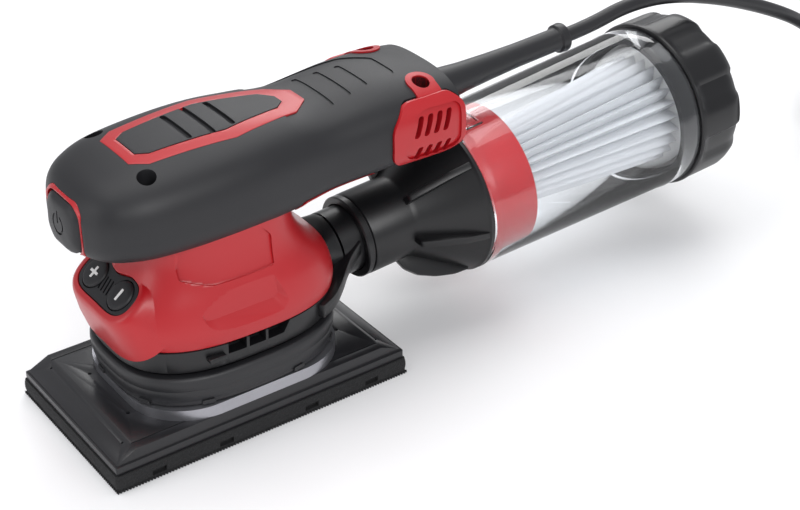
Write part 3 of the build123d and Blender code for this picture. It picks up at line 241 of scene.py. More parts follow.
def clear_finish(name, colour):
    """Clear moulded plastic that lets lamp light through."""
    finish = Finish(name)
    ripple = finish.noise(35.0, 2.0)
    scuffs = finish.noise(500.0, 4.0)
    shader = finish.add("ShaderNodeBsdfPrincipled", None, {
        "Base Color": tint(colour, 1.0),
        "Roughness": scuffs * 0.05 + 0.01,
        "IOR": 1.46,
        "Transmission Weight": 1.0,
        "Normal": finish.bump(ripple, 0.25, 0.25),
    })
    through = finish.add("ShaderNodeBsdfTransparent", None, {"Color": (0.93, 0.94, 0.95, 1.0)})
    light = finish.add("ShaderNodeLightPath").outputs["Is Shadow Ray"]
    mixed = finish.add("ShaderNodeMixShader", None, {0: light, 1: shader.outputs[0], 2: through.outputs[0]})
    finish.add("ShaderNodeOutputMaterial", None, {"Surface": mixed.outputs[0]})
    return finish.material


def wound_copper(name, colour):
    finish = Finish(name)
    wire_grooves_with_painted_shade = finish.noise(1400.0, 1.0, (0.2, 0.2, 1.0))
    # painted shade: the copper is darkened in the grooves between the wires, where the bump sinks
    base = finish.blend(wire_grooves_with_painted_shade, tint(colour, 0.55), tint(colour, 1.1))
    return finish.close(
        Base_Color=base, Metallic=0.85, Roughness=0.3 + wire_grooves_with_painted_shade * 0.2, Normal=finish.bump(wire_grooves_with_painted_shade, 0.8, 0.2)
    )


def laminated(name, colour):
    """Stack of thin steel sheets."""
    finish = Finish(name)
    sheets = finish.add("ShaderNodeTexWave", {"bands_direction": "Z"}, {
        "Vector": finish.place, "Scale": 300.0, "Distortion": 0.4, "Detail": 1.0})
    lines = Value(finish, sheets.outputs["Fac"])
    base = finish.blend(lines, tint(colour, 0.6), tint(colour, 1.1))
    return finish.close(Base_Color=base, Metallic=0.8, Roughness=0.4 + lines * 0.15,
                        Normal=finish.bump(lines, 0.6, 0.08))


def board_finish(name, colour):
    """Lacquered circuit board with copper tracks under the lacquer."""
    finish = Finish(name)
    tracks = finish.step(finish.noise(300.0, 0.0, (1.0, 0.25, 1.0)), 0.52, 0.56)
    base = finish.blend(tracks, tint(colour, 1.0), tint(colour, 1.8))
    return finish.close(Base_Color=base, Roughness=0.3 + tracks * 0.1, Normal=finish.bump(tracks, 0.4, 0.05))


finishes = {}


def make_finishes(colours):
    """Fills the finishes by record slot."""
    finishes.clear()
    finishes.update(
        grip_rubber=moulded("soft_charcoal", colours.charcoal, 0.5, 0.35, 0.02, Specular_IOR_Level=0.45),
        red_plastic=moulded(
            "satin_red", colours.red, 0.36, 0.5, 0.012, 0.05, Coat_Weight=0.12, Coat_Roughness=0.2
        ),
        black_plastic=moulded("fine_black", colours.black, 0.36, 0.4, 0.015),
        seal_rubber=moulded("ribbed_rubber", colours.rubber, 0.46, 0.6, 0.02),
        plate_plastic=moulded("filled_plate", colours.plate, 0.33, 0.3, 0.02),
        cord_rubber=moulded("satin_cable", colours.cable, 0.42, 0.3, 0.01),
        white_plastic=moulded("white_moulding", (0.78, 0.78, 0.77), 0.4, 0.5, 0.01, 0.04),
        hub_metal=turned_metal("cast_hub", colours.metal, 0.34),
        steel=turned_metal("turned_steel", (0.42, 0.42, 0.44), 0.3),
        pin_metal=turned_metal("plated_pins", (0.7, 0.69, 0.66), 0.2),
        magnet=turned_metal("sintered_magnet", (0.08, 0.08, 0.085), 0.45),
        dark_steel=turned_metal("blackened_screw", (0.03, 0.03, 0.032), 0.28),
        foam=foam_finish("pad_foam", colours.foam),
        hook_fabric=hook_finish("hook_field", colours.foam),
        filter_paper=paper_finish("filter_fleece", colours.paper),
        clear_plastic=clear_finish("clear_canister", (0.96, 0.975, 0.99)),
        copper=wound_copper("wound_copper", (0.72, 0.3, 0.12)),
        laminations=laminated("steel_sheets", (0.3, 0.3, 0.31)),
        board=board_finish("green_board", (0.01, 0.09, 0.03)),
    )


# ---------------------------------------------------------------- mesh building
def new_piece(name, points, faces):
    """Object from points in millimetres."""
    mesh = bpy.data.meshes.new(name)
    mesh.from_pydata([Vector(point) * MM for point in points], [], faces)
    piece = bpy.data.objects.new(name, mesh)
    bpy.context.scene.collection.objects.link(piece)
    return piece


def tidy_mesh(piece, smooth_angle=32.0, merge_mm=0.004):
    """Merges doubles, turns faces outwards and smooths all but the sharp edges."""
    mesh = piece.data
    work = bmesh.new()
    work.from_mesh(mesh)
    bmesh.ops.remove_doubles(work, verts=work.verts, dist=merge_mm * MM)
    bmesh.ops.dissolve_degenerate(work, edges=work.edges, dist=merge_mm * MM)
    bmesh.ops.recalc_face_normals(work, faces=work.faces)
    work.to_mesh(mesh)
    work.free()
    mesh.shade_smooth()
    mesh.set_sharp_from_angle(angle=math.radians(smooth_angle))
    return piece


def loft(name, rings, closed=False, smooth_angle=32.0):
    """Skin over rings of points; a closed one joins its last ring to its first."""
    count = len(rings[0])
    points = [point for ring in rings for point in ring]
    faces = []
    spans = len(rings) if closed else len(rings) - 1
    for row in range(spans):
        here, there = row * count, ((row + 1) % len(rings)) * count
        for index in range(count):
            after = (index + 1) % count
            faces.append((here + index, here + after, there + after, there + index))
    if not closed:
        faces.append(tuple(range(count)))
        faces.append(tuple(range(len(points) - count, len(points))))
    return tidy_mesh(new_piece(name, points, faces), smooth_angle)


def applied(piece):
    """Makes the piece's modifiers real."""
    graph = bpy.context.evaluated_depsgraph_get()
    mesh = bpy.data.meshes.new_from_object(piece.evaluated_get(graph), depsgraph=graph)
    piece.modifiers.clear()
    old = piece.data
    piece.data = mesh
    if isinstance(old, bpy.types.Mesh):
        bpy.data.meshes.remove(old)
    return piece


def carve(piece, tools, operation="DIFFERENCE", smooth_angle=32.0):
    """Cuts, keeps or joins the tools, which are used up."""
    for tool in tools:
        made = piece.modifiers.new("carve", "BOOLEAN")
        made.object = tool
        made.operation = operation
        made.solver = "EXACT"
    applied(piece)
    for tool in tools:
        bpy.data.objects.remove(tool)
    return tidy_mesh(piece, smooth_angle)


def soften_edges(piece, width_mm, angle=35.0, segments=2):
    """Rounds the sharp edges."""
    made = piece.modifiers.new("soften", "BEVEL")
    made.width = width_mm * MM
    made.segments = segments
    made.limit_method = "ANGLE"
    made.angle_limit = math.radians(angle)
    made.harden_normals = False
    applied(piece)
    return tidy_mesh(piece, 40.0)


def rounded(points, radius, steps=5):
    """Outline with its corners rounded."""
    result = []
    count = len(points)
    for index in range(count):
        corner = Vector(points[index])
        before = Vector(points[index - 1]) - corner
        after = Vector(points[(index + 1) % count]) - corner
        reach = min(radius, 0.48 * before.length, 0.48 * after.length)
        start = corner + before.normalized() * reach
        end = corner + after.normalized() * reach
        for step in range(steps + 1):
            share = step / steps
            result.append(tuple((1 - share) ** 2 * start + 2 * share * (1 - share) * corner + share**2 * end))
    return result


def prism(outline, axis, low, high, name="tool"):
    """Straight bar over a flat outline, along x, y or z."""
    orders = {
        "x": lambda a, b, c: (c, a, b),
        "y": lambda a, b, c: (a, c, b),
        "z": lambda a, b, c: (a, b, c),
    }
    order = orders[axis]
    return loft(name, [[order(a, b, c) for a, b in outline] for c in (low, high)])


def side_prism(outline, side, near, far, name="tool"):
    """Bar across one side of the machine, between two distances from its middle plane."""
    low, high = sorted((side * near, side * far))
    return prism(outline, "y", low, high, name)


def box_tool(low, high):
    outline = [(low[0], low[1]), (high[0], low[1]), (high[0], high[1]), (low[0], high[1])]
    return prism(outline, "z", low[2], high[2])


def circle(middle_a, middle_b, radius, count=32):
    turn = 2 * math.pi / count
    return [
        (middle_a + radius * math.cos(turn * index), middle_b + radius * math.sin(turn * index))
        for index in range(count)
    ]


def mirrored(points):
    """Outline completed on the other side of the middle line."""
    return list(points) + [(x, -y) for x, y in reversed(points)]


def signed_power(value, power):
    return math.copysign(abs(value) ** power, value)


def oval_ring(z, middle, half_length, half_width, power=2.7, count=AROUND):
    """Level section of the housing: a soft rectangle."""
    ring = []
    for index in range(count):
        turn = 2 * math.pi * index / count
        x = middle + half_length * signed_power(math.cos(turn), 2 / power)
        ring.append((x, half_width * signed_power(math.sin(turn), 2 / power), z))
    return ring


def smooth_rows(rows, steps):
    """Rows of numbers with a smooth curve run through them."""
    result = []
    for index in range(len(rows) - 1):
        before = rows[max(index - 1, 0)]
        start, end = rows[index], rows[index + 1]
        after = rows[min(index + 2, len(rows) - 1)]
        for step in range(steps):
            t = step / steps
            row = []
            for a, b, c, d in zip(before, start, end, after):
                ahead, behind = (c - a) / 2, (d - b) / 2
                row.append(
                    (2 * t**3 - 3 * t**2 + 1) * b
                    + (t**3 - 2 * t**2 + t) * ahead
                    + (3 * t**2 - 2 * t**3) * c
                    + (t**3 - t**2) * behind
                )
            result.append(row)
    result.append(list(rows[-1]))
    return result


def grip_body(name, inset, steps=8):
    """Outer shape of the grip, pulled in by an inset all round."""
    rings = []
    rows = smooth_rows(GRIP_ROWS, steps)
    for index, (x, half_width, low, high) in enumerate(rows):
        if index == 0:
            x += inset
        elif index == len(rows) - 1:
            x -= inset
        half_width, low, high = half_width - inset, low + inset, high - inset
        waist = low + 0.45 * (high - low)
        ring = []
        for step in range(AROUND):
            turn = 2 * math.pi * step / AROUND
            upper = math.sin(turn) >= 0
            power = 2.75 if upper else 3.4
            reach = (high - waist) if upper else (waist - low)
            y = half_width * signed_power(math.cos(turn), 2 / power)
            ring.append((x, y, waist + reach * signed_power(math.sin(turn), 2 / power)))
        rings.append(ring)
    return loft(name, rings)


def box_point(distance, radius, angle=0.0):
    """Point round the dust box axis, angle from the top towards the near side."""
    turn = math.radians(angle)
    out = BOX_UP * math.cos(turn) + Vector((0.0, -1.0, 0.0)) * math.sin(turn)
    return BOX_ORIGIN + BOX_WAY * distance + out * radius


def turned(name, profile, flute=None, smooth_angle=28.0):
    """Piece turned about the dust box axis from a closed (radius, distance) profile."""
    rings = []
    for radius, distance in profile:
        ring = []
        for step in range(TURN_STEPS):
            angle = 360 * step / TURN_STEPS
            reach = radius + (flute(angle, distance, radius) if flute else 0.0)
            ring.append(tuple(box_point(distance, reach, angle)))
        rings.append(ring)
    return loft(name, rings, closed=True, smooth_angle=smooth_angle)


def smoothstep(value, low, high):
    share = min(1.0, max(0.0, (value - low) / (high - low)))
    return share * share * (3 - 2 * share)


def settle(piece, body, slot, nodes=(), finish=None):
    """Gives a finished piece the finish of its slot unless it has a material, hangs it on its body and hides the
    nodes it stands for.
    """
    if not piece.data.materials:
        piece.data.materials.append(finishes[finish or slot])
    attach(piece, body)
    if nodes:
        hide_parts(*nodes)
    return piece


# ---------------------------------------------------------------- repeats by Geometry Nodes
class Tree:
    """Geometry Nodes tree whose nodes are all added by one method."""

    def __init__(self, name, inputs):
        self.group = bpy.data.node_groups.new(name, "GeometryNodeTree")
        sockets = self.group.interface
        sockets.new_socket("Geometry", in_out="INPUT", socket_type="NodeSocketGeometry")
        self.identifiers = {}
        for title, kind in inputs.items():
            made = sockets.new_socket(title, in_out="INPUT", socket_type=kind)
            self.identifiers[title] = made.identifier
        sockets.new_socket("Geometry", in_out="OUTPUT", socket_type="NodeSocketGeometry")
        self.source = self.add("NodeGroupInput")

    def add(self, kind, settings=None, values=None):
        node = self.group.nodes.new(kind)
        for key, value in (settings or {}).items():
            setattr(node, key, value)
        for key, value in (values or {}).items():
            if isinstance(value, bpy.types.NodeSocket):
                self.group.links.new(value, node.inputs[key])
            else:
                node.inputs[key].default_value = value
        return node

    def finish(self, geometry, material):
        """Ends in real geometry with its material set."""
        real = self.add("GeometryNodeRealizeInstances", None, {0: geometry})
        values = {"Geometry": real.outputs[0], "Material": material}
        coated = self.add("GeometryNodeSetMaterial", None, values)
        self.add("NodeGroupOutput", None, {0: coated.outputs[0]})

    def run(self, piece, values):
        """Applies the tree to a piece with the values of its named inputs."""
        made = piece.modifiers.new("repeat", "NODES")
        made.node_group = self.group
        for title, value in values.items():
            made[self.identifiers[title]] = value
        return applied(piece)


def copies(name, shape, spots, material, size=1.0):
    """One mesh with the shape set at each (place, turn) spot by Geometry Nodes."""
    tree = Tree(name + "_copies", {"Shape": "NodeSocketObject", "Size": "NodeSocketFloat"})
    turn = tree.add("GeometryNodeInputNamedAttribute", {"data_type": "FLOAT_VECTOR"}, {"Name": "turn"})
    item = tree.add("GeometryNodeObjectInfo", None, {"Object": tree.source.outputs["Shape"]})
    placed = tree.add("GeometryNodeInstanceOnPoints", None, {
        "Points": tree.source.outputs["Geometry"],
        "Instance": item.outputs["Geometry"],
        "Rotation": turn.outputs["Attribute"],
        "Scale": tree.source.outputs["Size"],
    })
    tree.finish(placed.outputs[0], material)
    piece = new_piece(name, [place for place, _ in spots], [])
    turns = piece.data.attributes.new("turn", "FLOAT_VECTOR", "POINT")
    for index, (_, angles) in enumerate(spots):
        turns.data[index].vector = angles
    tree.run(piece, {"Shape": shape, "Size": size})
    bpy.data.objects.remove(shape)
    return tidy_mesh(piece)


def pleated_cone(name, material, count, start, end):
    """Pleated filter: a sheet wrapped round the axis, its folds set by Geometry Nodes."""
    tree = Tree(name + "_folds", {
        "Folds": "NodeSocketInt", "Length": "NodeSocketFloat", "Front crest": "NodeSocketFloat",
        "Rear crest": "NodeSocketFloat", "Front depth": "NodeSocketFloat", "Rear depth": "NodeSocketFloat"})
    given = tree.source.outputs
    samples = 8

    def maths(operation, *values):
        return tree.add("ShaderNodeMath", {"operation": operation}, dict(enumerate(values))).outputs[0]

    across = maths("ADD", maths("MULTIPLY", given["Folds"], samples), 1)
    grid_values = {"Size X": 1.0, "Size Y": 1.0, "Vertices X": across, "Vertices Y": 24}
    grid = tree.add("GeometryNodeMeshGrid", None, grid_values)
    place = tree.add("ShaderNodeSeparateXYZ", None, {0: tree.add("GeometryNodeInputPosition").outputs[0]})
    share_round = maths("ADD", place.outputs[0], 0.5)
    share_along = maths("ADD", place.outputs[1], 0.5)
    wave = maths("PINGPONG", maths("MULTIPLY", share_round, maths("MULTIPLY", given["Folds"], 2)), 1.0)
    fold = maths("SMOOTH_MIN", wave, 0.93, 0.16)

    def between(first, second):
        return maths("ADD", first, maths("MULTIPLY", maths("SUBTRACT", second, first), share_along))

    crest = between(given["Front crest"], given["Rear crest"])
    depth = between(given["Front depth"], given["Rear depth"])
    radius = maths("SUBTRACT", crest, maths("MULTIPLY", depth, maths("SUBTRACT", 0.95, fold)))
    turn = maths("MULTIPLY", share_round, 2 * math.pi)
    spot = tree.add("ShaderNodeCombineXYZ", None, {
        0: maths("MULTIPLY", radius, maths("COSINE", turn)),
        1: maths("MULTIPLY", radius, maths("SINE", turn)),
        2: maths("MULTIPLY", share_along, given["Length"]),
    })
    moved_values = {"Geometry": grid.outputs[0], "Position": spot.outputs[0]}
    moved = tree.add("GeometryNodeSetPosition", None, moved_values)
    joined_values = {"Geometry": moved.outputs[0], "Distance": 0.00001}
    joined = tree.add("GeometryNodeMergeByDistance", None, joined_values)
    tree.finish(joined.outputs[0], material)
    piece = new_piece(name, [(0, 0, 0)], [])
    tree.run(piece, {
        "Folds": count, "Length": (end - start) * MM, "Front crest": 16.3 * MM, "Rear crest": 27.2 * MM,
        "Front depth": 4.0 * MM, "Rear depth": 7.0 * MM})
    side = BOX_WAY.cross(BOX_UP)
    origin = (BOX_ORIGIN + BOX_WAY * start) * MM
    piece.data.transform(Matrix((
        (BOX_UP.x, side.x, BOX_WAY.x, origin.x),
        (BOX_UP.y, side.y, BOX_WAY.y, origin.y),
        (BOX_UP.z, side.z, BOX_WAY.z, origin.z),
        (0, 0, 0, 1),
    )))
    tidy_mesh(piece, 25.0)
    wall = piece.modifiers.new("wall", "SOLIDIFY")
    wall.thickness = 0.5 * MM
    wall.offset = -1.0
    return tidy_mesh(applied(piece), 25.0)


# ---------------------------------------------------------------- properties
class SanderSizes(bpy.types.PropertyGroup):
    pad_length: FloatProperty(
        name="Pad length", description="Length of the sanding face, mm", default=133.0, min=90.0, max=200.0)
    pad_width: FloatProperty(
        name="Pad width", description="Width of the sanding face, mm", default=80.0, min=60.0, max=120.0)
    hook_pitch: FloatProperty(
        name="Hook pitch", description="Spacing of the teeth along the sheet's edge, mm",
        default=1.3, min=0.8)
    groove_depth: FloatProperty(
        name="Groove depth", description="Depth of the finger grooves, mm", default=0.9, min=0.3, max=1.5)
    pleats: IntProperty(name="Pleats", description="Folds of the filter", default=26, min=12, max=48)
    flutes: IntProperty(
        name="Flutes", description="Finger flutes round the end cap", default=9, min=6, max=18)
    cord_diameter: FloatProperty(
        name="Cord diameter", description="Outside diameter of the mains lead, mm",
        default=6.5, min=5.0, max=9.0)


def colour_property(title, words, value):
    return FloatVectorProperty(
        name=title, description=words, default=value, subtype="COLOR", min=0.0, max=1.0)


class SanderColours(bpy.types.PropertyGroup):
    red: colour_property("Red", "Housing and trim", (0.42, 0.008, 0.013))
    charcoal: colour_property("Charcoal", "Soft-touch grip", (0.012, 0.012, 0.014))
    black: colour_property("Black", "Dust box and duct", (0.005, 0.005, 0.006))
    rubber: colour_property("Rubber", "Seal ring above the pad", (0.014, 0.014, 0.016))
    plate: colour_property("Plate", "Pad plate", (0.013, 0.013, 0.015))
    foam: colour_property("Foam", "Pad foam and hook sheet", (0.013, 0.013, 0.014))
    cable: colour_property("Cable", "Mains lead and its guard", (0.012, 0.012, 0.014))
    metal: colour_property("Metal", "Pad hub", (0.4, 0.4, 0.43))
    paper: colour_property("Paper", "Pleated filter", (0.62, 0.63, 0.65))


def sizes():
    return bpy.context.scene.sander_sizes


# ---------------------------------------------------------------- stage
def soft_lamp(name, place, aim, size, power):
    """Large soft lamp at a place in metres, facing its aim."""
    data = bpy.data.lights.new(name, "AREA")
    data.shape = "RECTANGLE"
    data.size, data.size_y = size
    data.energy = power
    lamp = bpy.data.objects.new(name, data)
    lamp.location = place
    lamp.rotation_euler = (Vector(aim) - Vector(place)).to_track_quat("-Z", "Y").to_euler()
    bpy.context.scene.collection.objects.link(lamp)


class SANDER_OT_stage(bpy.types.Operator):
    """Sets the finishes, camera, lamps and pale floor"""

    bl_idname = "sander.stage"
    bl_label = "Stage"

    def execute(self, context):
        scene = context.scene
        make_finishes(scene.sander_colours)
        scene.view_settings.view_transform = "Standard"
        data = bpy.data.cameras.new("camera")
        data.lens = 77.07
        data.sensor_width = 36.0
        data.clip_start = 0.05
        camera = bpy.data.objects.new("camera", data)
        turn = Matrix.Rotation(math.radians(-35.525), 4, "Z")
        turn @= Matrix.Rotation(math.radians(90 - 31.466), 4, "X")
        turn @= Matrix.Rotation(math.radians(-0.438), 4, "Z")
        camera.matrix_world = Matrix.Translation((-0.269967, -0.507104, 0.408990)) @ turn
        scene.collection.objects.link(camera)
        scene.camera = camera
        world = bpy.data.worlds.new("studio")
        world.use_nodes = True
        sky = world.node_tree.nodes["Background"]
        sky.inputs["Color"].default_value = (0.95, 0.96, 1.0, 1.0)
        sky.inputs["Strength"].default_value = 0.5
        scene.world = world
        aim = (0.06, 0.0, 0.06)
        soft_lamp("key", (-0.15, -1.0, 0.75), aim, (0.9, 0.5), 7.0)
        soft_lamp("top", (0.1, 0.25, 1.3), aim, (1.5, 0.9), 9.5)
        soft_lamp("front", (-1.3, 0.25, 0.6), aim, (0.5, 0.9), 3.6)
        soft_lamp("rear", (0.9, 0.9, 0.8), aim, (1.0, 0.4), 5.5)
        ground = Finish("pale_floor")
        speckle = ground.noise(12.0, 3.0)
        shade = ground.blend(speckle, (0.9, 0.9, 0.905, 1), (0.93, 0.93, 0.935, 1))
        ground.close(Base_Color=shade, Roughness=0.75 + speckle * 0.1)
        far = 6000.0
        corners = [(-far, -far, -0.05), (far, -far, -0.05), (far, far, -0.05), (-far, far, -0.05)]
        floor = new_piece("floor", corners, [(0, 1, 2, 3)])
        floor.data.materials.append(ground.material)
        return {"FINISHED"}


# ---------------------------------------------------------------- cord
CORD_ROUTE = [
    (178.6, 0, 105.9), (194, 0, 106.9), (214, 0, 111.2), (240, 0, 109.6), (270, 0, 101), (300, 0.5, 89),
    (329, 3, 74.6), (355, 12.5, 57.6), (379.8, 26.5, 38.6), (406.6, 36.2, 17), (426.2, 31, 7.6),
    (441.6, 18, 3.7), (450, 0.5, 3.25),
]
TAIL_ROUTE = [
    (362.26, -38.63, 22.75), (357.58, -24.38, 24.5), (360.64, -9.69, 28.5), (370.65, 1.5, 32.8),
    (384.9, 6.18, 32.8),
]
COIL_MIDDLE = (404.05, -17.0)
COIL_OUTER_TURN = 46.45       # radius to the middle of the cord
COIL_LAYERS = 4
COIL_PITCH = 6.5
LAST_TURN_POINTS = 6          # the top outer turn stops where the tail leaves it
TURN_POINTS = 14


def coil_turns():
    """Radius and height of each turn, every second layer wound back outwards."""
    radii = [COIL_OUTER_TURN - COIL_PITCH * column for column in range(COIL_LAYERS)]
    turns = []
    for layer in range(COIL_LAYERS):
        row = radii if layer % 2 == 0 else radii[::-1]
        turns += [(radius, COIL_PITCH * (layer + 0.5)) for radius in row]
    return turns


def coil_route():
    """Points of the put-away turns, wound clockwise from where the lead reaches the floor."""
    points = []
    turns = coil_turns()
    outward = 1 / math.cos(math.pi / TURN_POINTS)
    for index, (radius, height) in enumerate(turns):
        last = index == len(turns) - 1
        after = turns[min(index + 1, len(turns) - 1)]
        for step in range(LAST_TURN_POINTS if last else TURN_POINTS):
            share = step / TURN_POINTS
            move = smoothstep(share, 0.72, 1.0)
            turn = -2 * math.pi * share
            reach = (radius + (after[0] - radius) * move) * outward
            x = COIL_MIDDLE[0] + reach * math.cos(turn)
            y = COIL_MIDDLE[1] + reach * math.sin(turn)
            points.append((x, y, height + (after[1] - height) * move))
    return points


PLUG_FRONT = Vector(TAIL_ROUTE[-1])
PLUG_WAY = (PLUG_FRONT - Vector(TAIL_ROUTE[-2])).normalized()
PLUG_RELIEF = 20.0
PLUG_FACE = PLUG_RELIEF + 34.0
PLUG_SIDE = Vector((-PLUG_WAY.y, PLUG_WAY.x, 0.0))


def plug_ring(distance, half_width, half_height, power, count=64):
    """Section across the plug at a distance from the end of the lead."""
    middle = PLUG_FRONT + PLUG_WAY * distance
    ring = []
    for step in range(count):
        turn = 2 * math.pi * step / count
        across = half_width * signed_power(math.cos(turn), 2 / power)
        up = half_height * signed_power(math.sin(turn), 2 / power)
        ring.append(tuple(middle + PLUG_SIDE * across + Vector((0, 0, up))))
    return ring


class SANDER_OT_cord(bpy.types.Operator):
    """Lays the mains lead, its put-away coil, tie and plug"""

    bl_idname = "sander.cord"
    bl_label = "Cord and plug"

    def execute(self, context):
        radius = sizes().cord_diameter / 2
        tie = self.tie()
        relief_rings = []
        for index in range(21):
            distance = index - 0.5
            swell = 4.1 + 2.4 * smoothstep(distance, 0.0, PLUG_RELIEF)
            groove = 0.55 if index % 4 in (2, 3) and index < 18 else 0.0
            relief_rings.append(plug_ring(distance, swell - groove, min(swell - groove, 6.3), 2.0, 40))
        relief = settle(loft("plug_relief_ribs", relief_rings), "housing", "cord_rubber", ["plug_relief"])
        body_rows = ((-0.5, 6.4, 5.6), (1.0, 8.4, 6.2), (8.0, 14.6, 6.7), (16.0, 17.4, 6.75),
                     (28.0, 17.6, 6.75), (32.6, 17.2, 6.5), (34.0, 16.2, 5.6))
        body_rows = [(PLUG_RELIEF + row[0], *row[1:]) for row in body_rows]
        body_rings = [plug_ring(*row, 3.2) for row in smooth_rows(body_rows, 4)]
        plug = settle(loft("plug_body_shell", body_rings), "housing", "cord_rubber", ["plug_body"])
        pin_rows = ((0.0, 2.4), (17.6, 2.4), (18.6, 1.9), (19.0, 1.0))
        spots = []
        for side in (-1, 1):
            place = PLUG_FRONT + PLUG_WAY * PLUG_FACE + PLUG_SIDE * (9.5 * side)
            turn = Vector((0, 0, 1)).rotation_difference(PLUG_WAY).to_euler()
            spots.append((tuple(place), tuple(turn)))
        pin = loft("pin", [[(x, y, z) for x, y in circle(0, 0, reach, 24)] for z, reach in pin_rows])
        pins = copies("plug_pin_pair", pin, spots, finishes["pin_metal"])
        settle(pins, "housing", "pin_metal", ["plug_pins"])

        curve = bpy.data.curves.new("mains_lead", "CURVE")
        curve.dimensions = "3D"
        curve.bevel_depth = radius * MM
        curve.bevel_resolution = 5
        curve.resolution_u = 6
        route = CORD_ROUTE + coil_route() + TAIL_ROUTE
        spline = curve.splines.new("NURBS")
        spline.points.add(len(route) - 1)
        for point, place in zip(spline.points, route):
            point.co = (*[part * MM for part in place], 1.0)
        spline.order_u = 3
        spline.use_endpoint_u = True
        spline.use_smooth = True
        curve.materials.append(finishes["cord_rubber"])
        lead = bpy.data.objects.new("mains_lead", curve)
        context.scene.collection.objects.link(lead)
        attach(lead, "housing")
        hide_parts("cord_tube", "cord_tail", "cord_coil")
        return {"FINISHED"}

    def tie(self):
        """Strap round the coil's bundle."""
        middle_y = COIL_MIDDLE[1] - COIL_OUTER_TURN + COIL_PITCH * (COIL_LAYERS - 1) / 2
        high = COIL_PITCH * COIL_LAYERS
        rings = []
        for inset, reach, shares in ((0.0, 13.8, ((-6.0, -0.15), (-5.6, 0.0), (5.6, 0.0), (6.0, -0.15))),
                                     (0.7, 13.1, ((6.0, 0.15), (-6.0, 0.15)))):
            for along, grow in shares:
                corners = [(middle_y - reach - grow, inset), (middle_y + reach + grow, inset),
                           (middle_y + reach + grow, high - inset), (middle_y - reach - grow, high - inset)]
                outline = rounded(corners, 4.0 - inset / 2)
                rings.append([(COIL_MIDDLE[0] + along, y, z) for y, z in outline])
        return settle(loft("coil_strap", rings, closed=True), "housing", "seal_rubber", ["coil_tie"])


# ---------------------------------------------------------------- pad
def round_hole_tools(low, high):
    spots = [(x, y, 4.0) for x, y in DUST_HOLES]
    spots += [(x, y, 3.8) for x, y in circle(0, 0, 23.0, 4)]
    return [prism(circle(x, y, radius, 28), "z", low, high) for x, y, radius in spots]


def notch_tools(low, high):
    half = sizes().pad_width / 2
    return [box_tool((x - 3.1, side * half - 2.0, low), (x + 3.1, side * half + 2.0, high))
            for x in NOTCHES for side in (-1, 1)]


class SANDER_OT_pad(bpy.types.Operator):
    """Makes the plate, foam and hook sheet under the machine"""

    bl_idname = "sander.pad"
    bl_label = "Pad"

    def execute(self, context):
        self.hook_sheet()
        self.cushion()
        self.plate()
        return {"FINISHED"}

    def hook_sheet(self):
        """Thin sheet whose edge shows the rows of hooks."""
        half_length, half_width = sizes().pad_length / 2, sizes().pad_width / 2
        pitch, bite = sizes().hook_pitch, 0.55
        corners = [(-half_length, -half_width), (half_length, -half_width),
                   (half_length, half_width), (-half_length, half_width)]
        outline = []
        for index, corner in enumerate(corners):
            start, end = Vector(corner), Vector(corners[(index + 1) % 4])
            run = end - start
            inward = Vector((-run.y, run.x)).normalized() * bite
            teeth = round(run.length / pitch)
            for tooth in range(teeth):
                for share, depth in ((0.0, 0), (0.42, 0), (0.5, 1), (0.92, 1)):
                    outline.append(tuple(start + run * ((tooth + share) / teeth) + inward * depth))
        sheet = prism(outline, "z", 0.0, 1.2, "hook_sheet_teeth")
        carve(sheet, round_hole_tools(-1, 3))
        settle(sheet, "pad", "hook_fabric", ["hook_sheet"])

    def cushion(self):
        """Foam block whose sides bulge a little between the plate and the sheet."""
        half_length, half_width = sizes().pad_length / 2, sizes().pad_width / 2
        rings = []
        for step in range(9):
            share = step / 8
            grow = 0.35 * math.sin(math.pi * share) - 0.35
            corners = [(-half_length - grow, -half_width - grow), (half_length + grow, -half_width - grow),
                       (half_length + grow, half_width + grow), (-half_length - grow, half_width + grow)]
            rings.append([(x, y, 1.2 + 6.2 * share) for x, y in rounded(corners, 1.4)])
        foam = loft("pad_foam_block", rings)
        carve(foam, round_hole_tools(0, 9) + notch_tools(1.8, 4.4))
        settle(foam, "pad", "foam", ["pad_cushion"])

    def plate(self):
        """Stiff plate with sloped ends, a step along its sides and a fine rim."""
        half_length, half_width = 64.7, 37.7
        profile = [(-half_length, 7.4), (half_length, 7.4), (half_length, 11.35), (half_length - 9.1, 15.5),
                   (-half_length + 9.1, 15.5), (-half_length, 11.35)]
        plate = prism(profile, "y", -half_width, half_width, "pad_plate_body")
        rim_corners = [(-65.6, -38.9), (65.6, -38.9), (65.6, 38.9), (-65.6, 38.9)]
        rim = prism(rounded(rim_corners, 0.8), "z", 7.4, 10.9)
        carve(plate, [rim], "UNION")
        tools = []
        for side in (-1, 1):
            tools.append(box_tool((-60, side * 33.6 - 0.25, 15.2), (60, side * 33.6 + 0.25, 16)))
            for end in (-1, 1):
                tools.append(prism(circle(end * 48, side * 16, 0.8, 20), "z", 12, 17))
                tools.append(prism(circle(end * 58, side * 30, 0.5, 16), "z", 12, 17))
        for x, y in DUST_HOLES:
            tools.append(prism(circle(x, y, 4.0, 28), "z", 5, 18))
        for turn in range(4):
            x, y = 23 * math.cos(turn * math.pi / 2), 23 * math.sin(turn * math.pi / 2)
            tools.append(prism(circle(x, y, 3.5, 28), "z", 5, 11.4))
            tools.append(prism(circle(x, y, 1.8, 20), "z", 5, 18))
        carve(plate, tools)
        soften_edges(plate, 0.35, 30.0)
        settle(plate, "pad", "plate_plastic", ["pad_plate"])


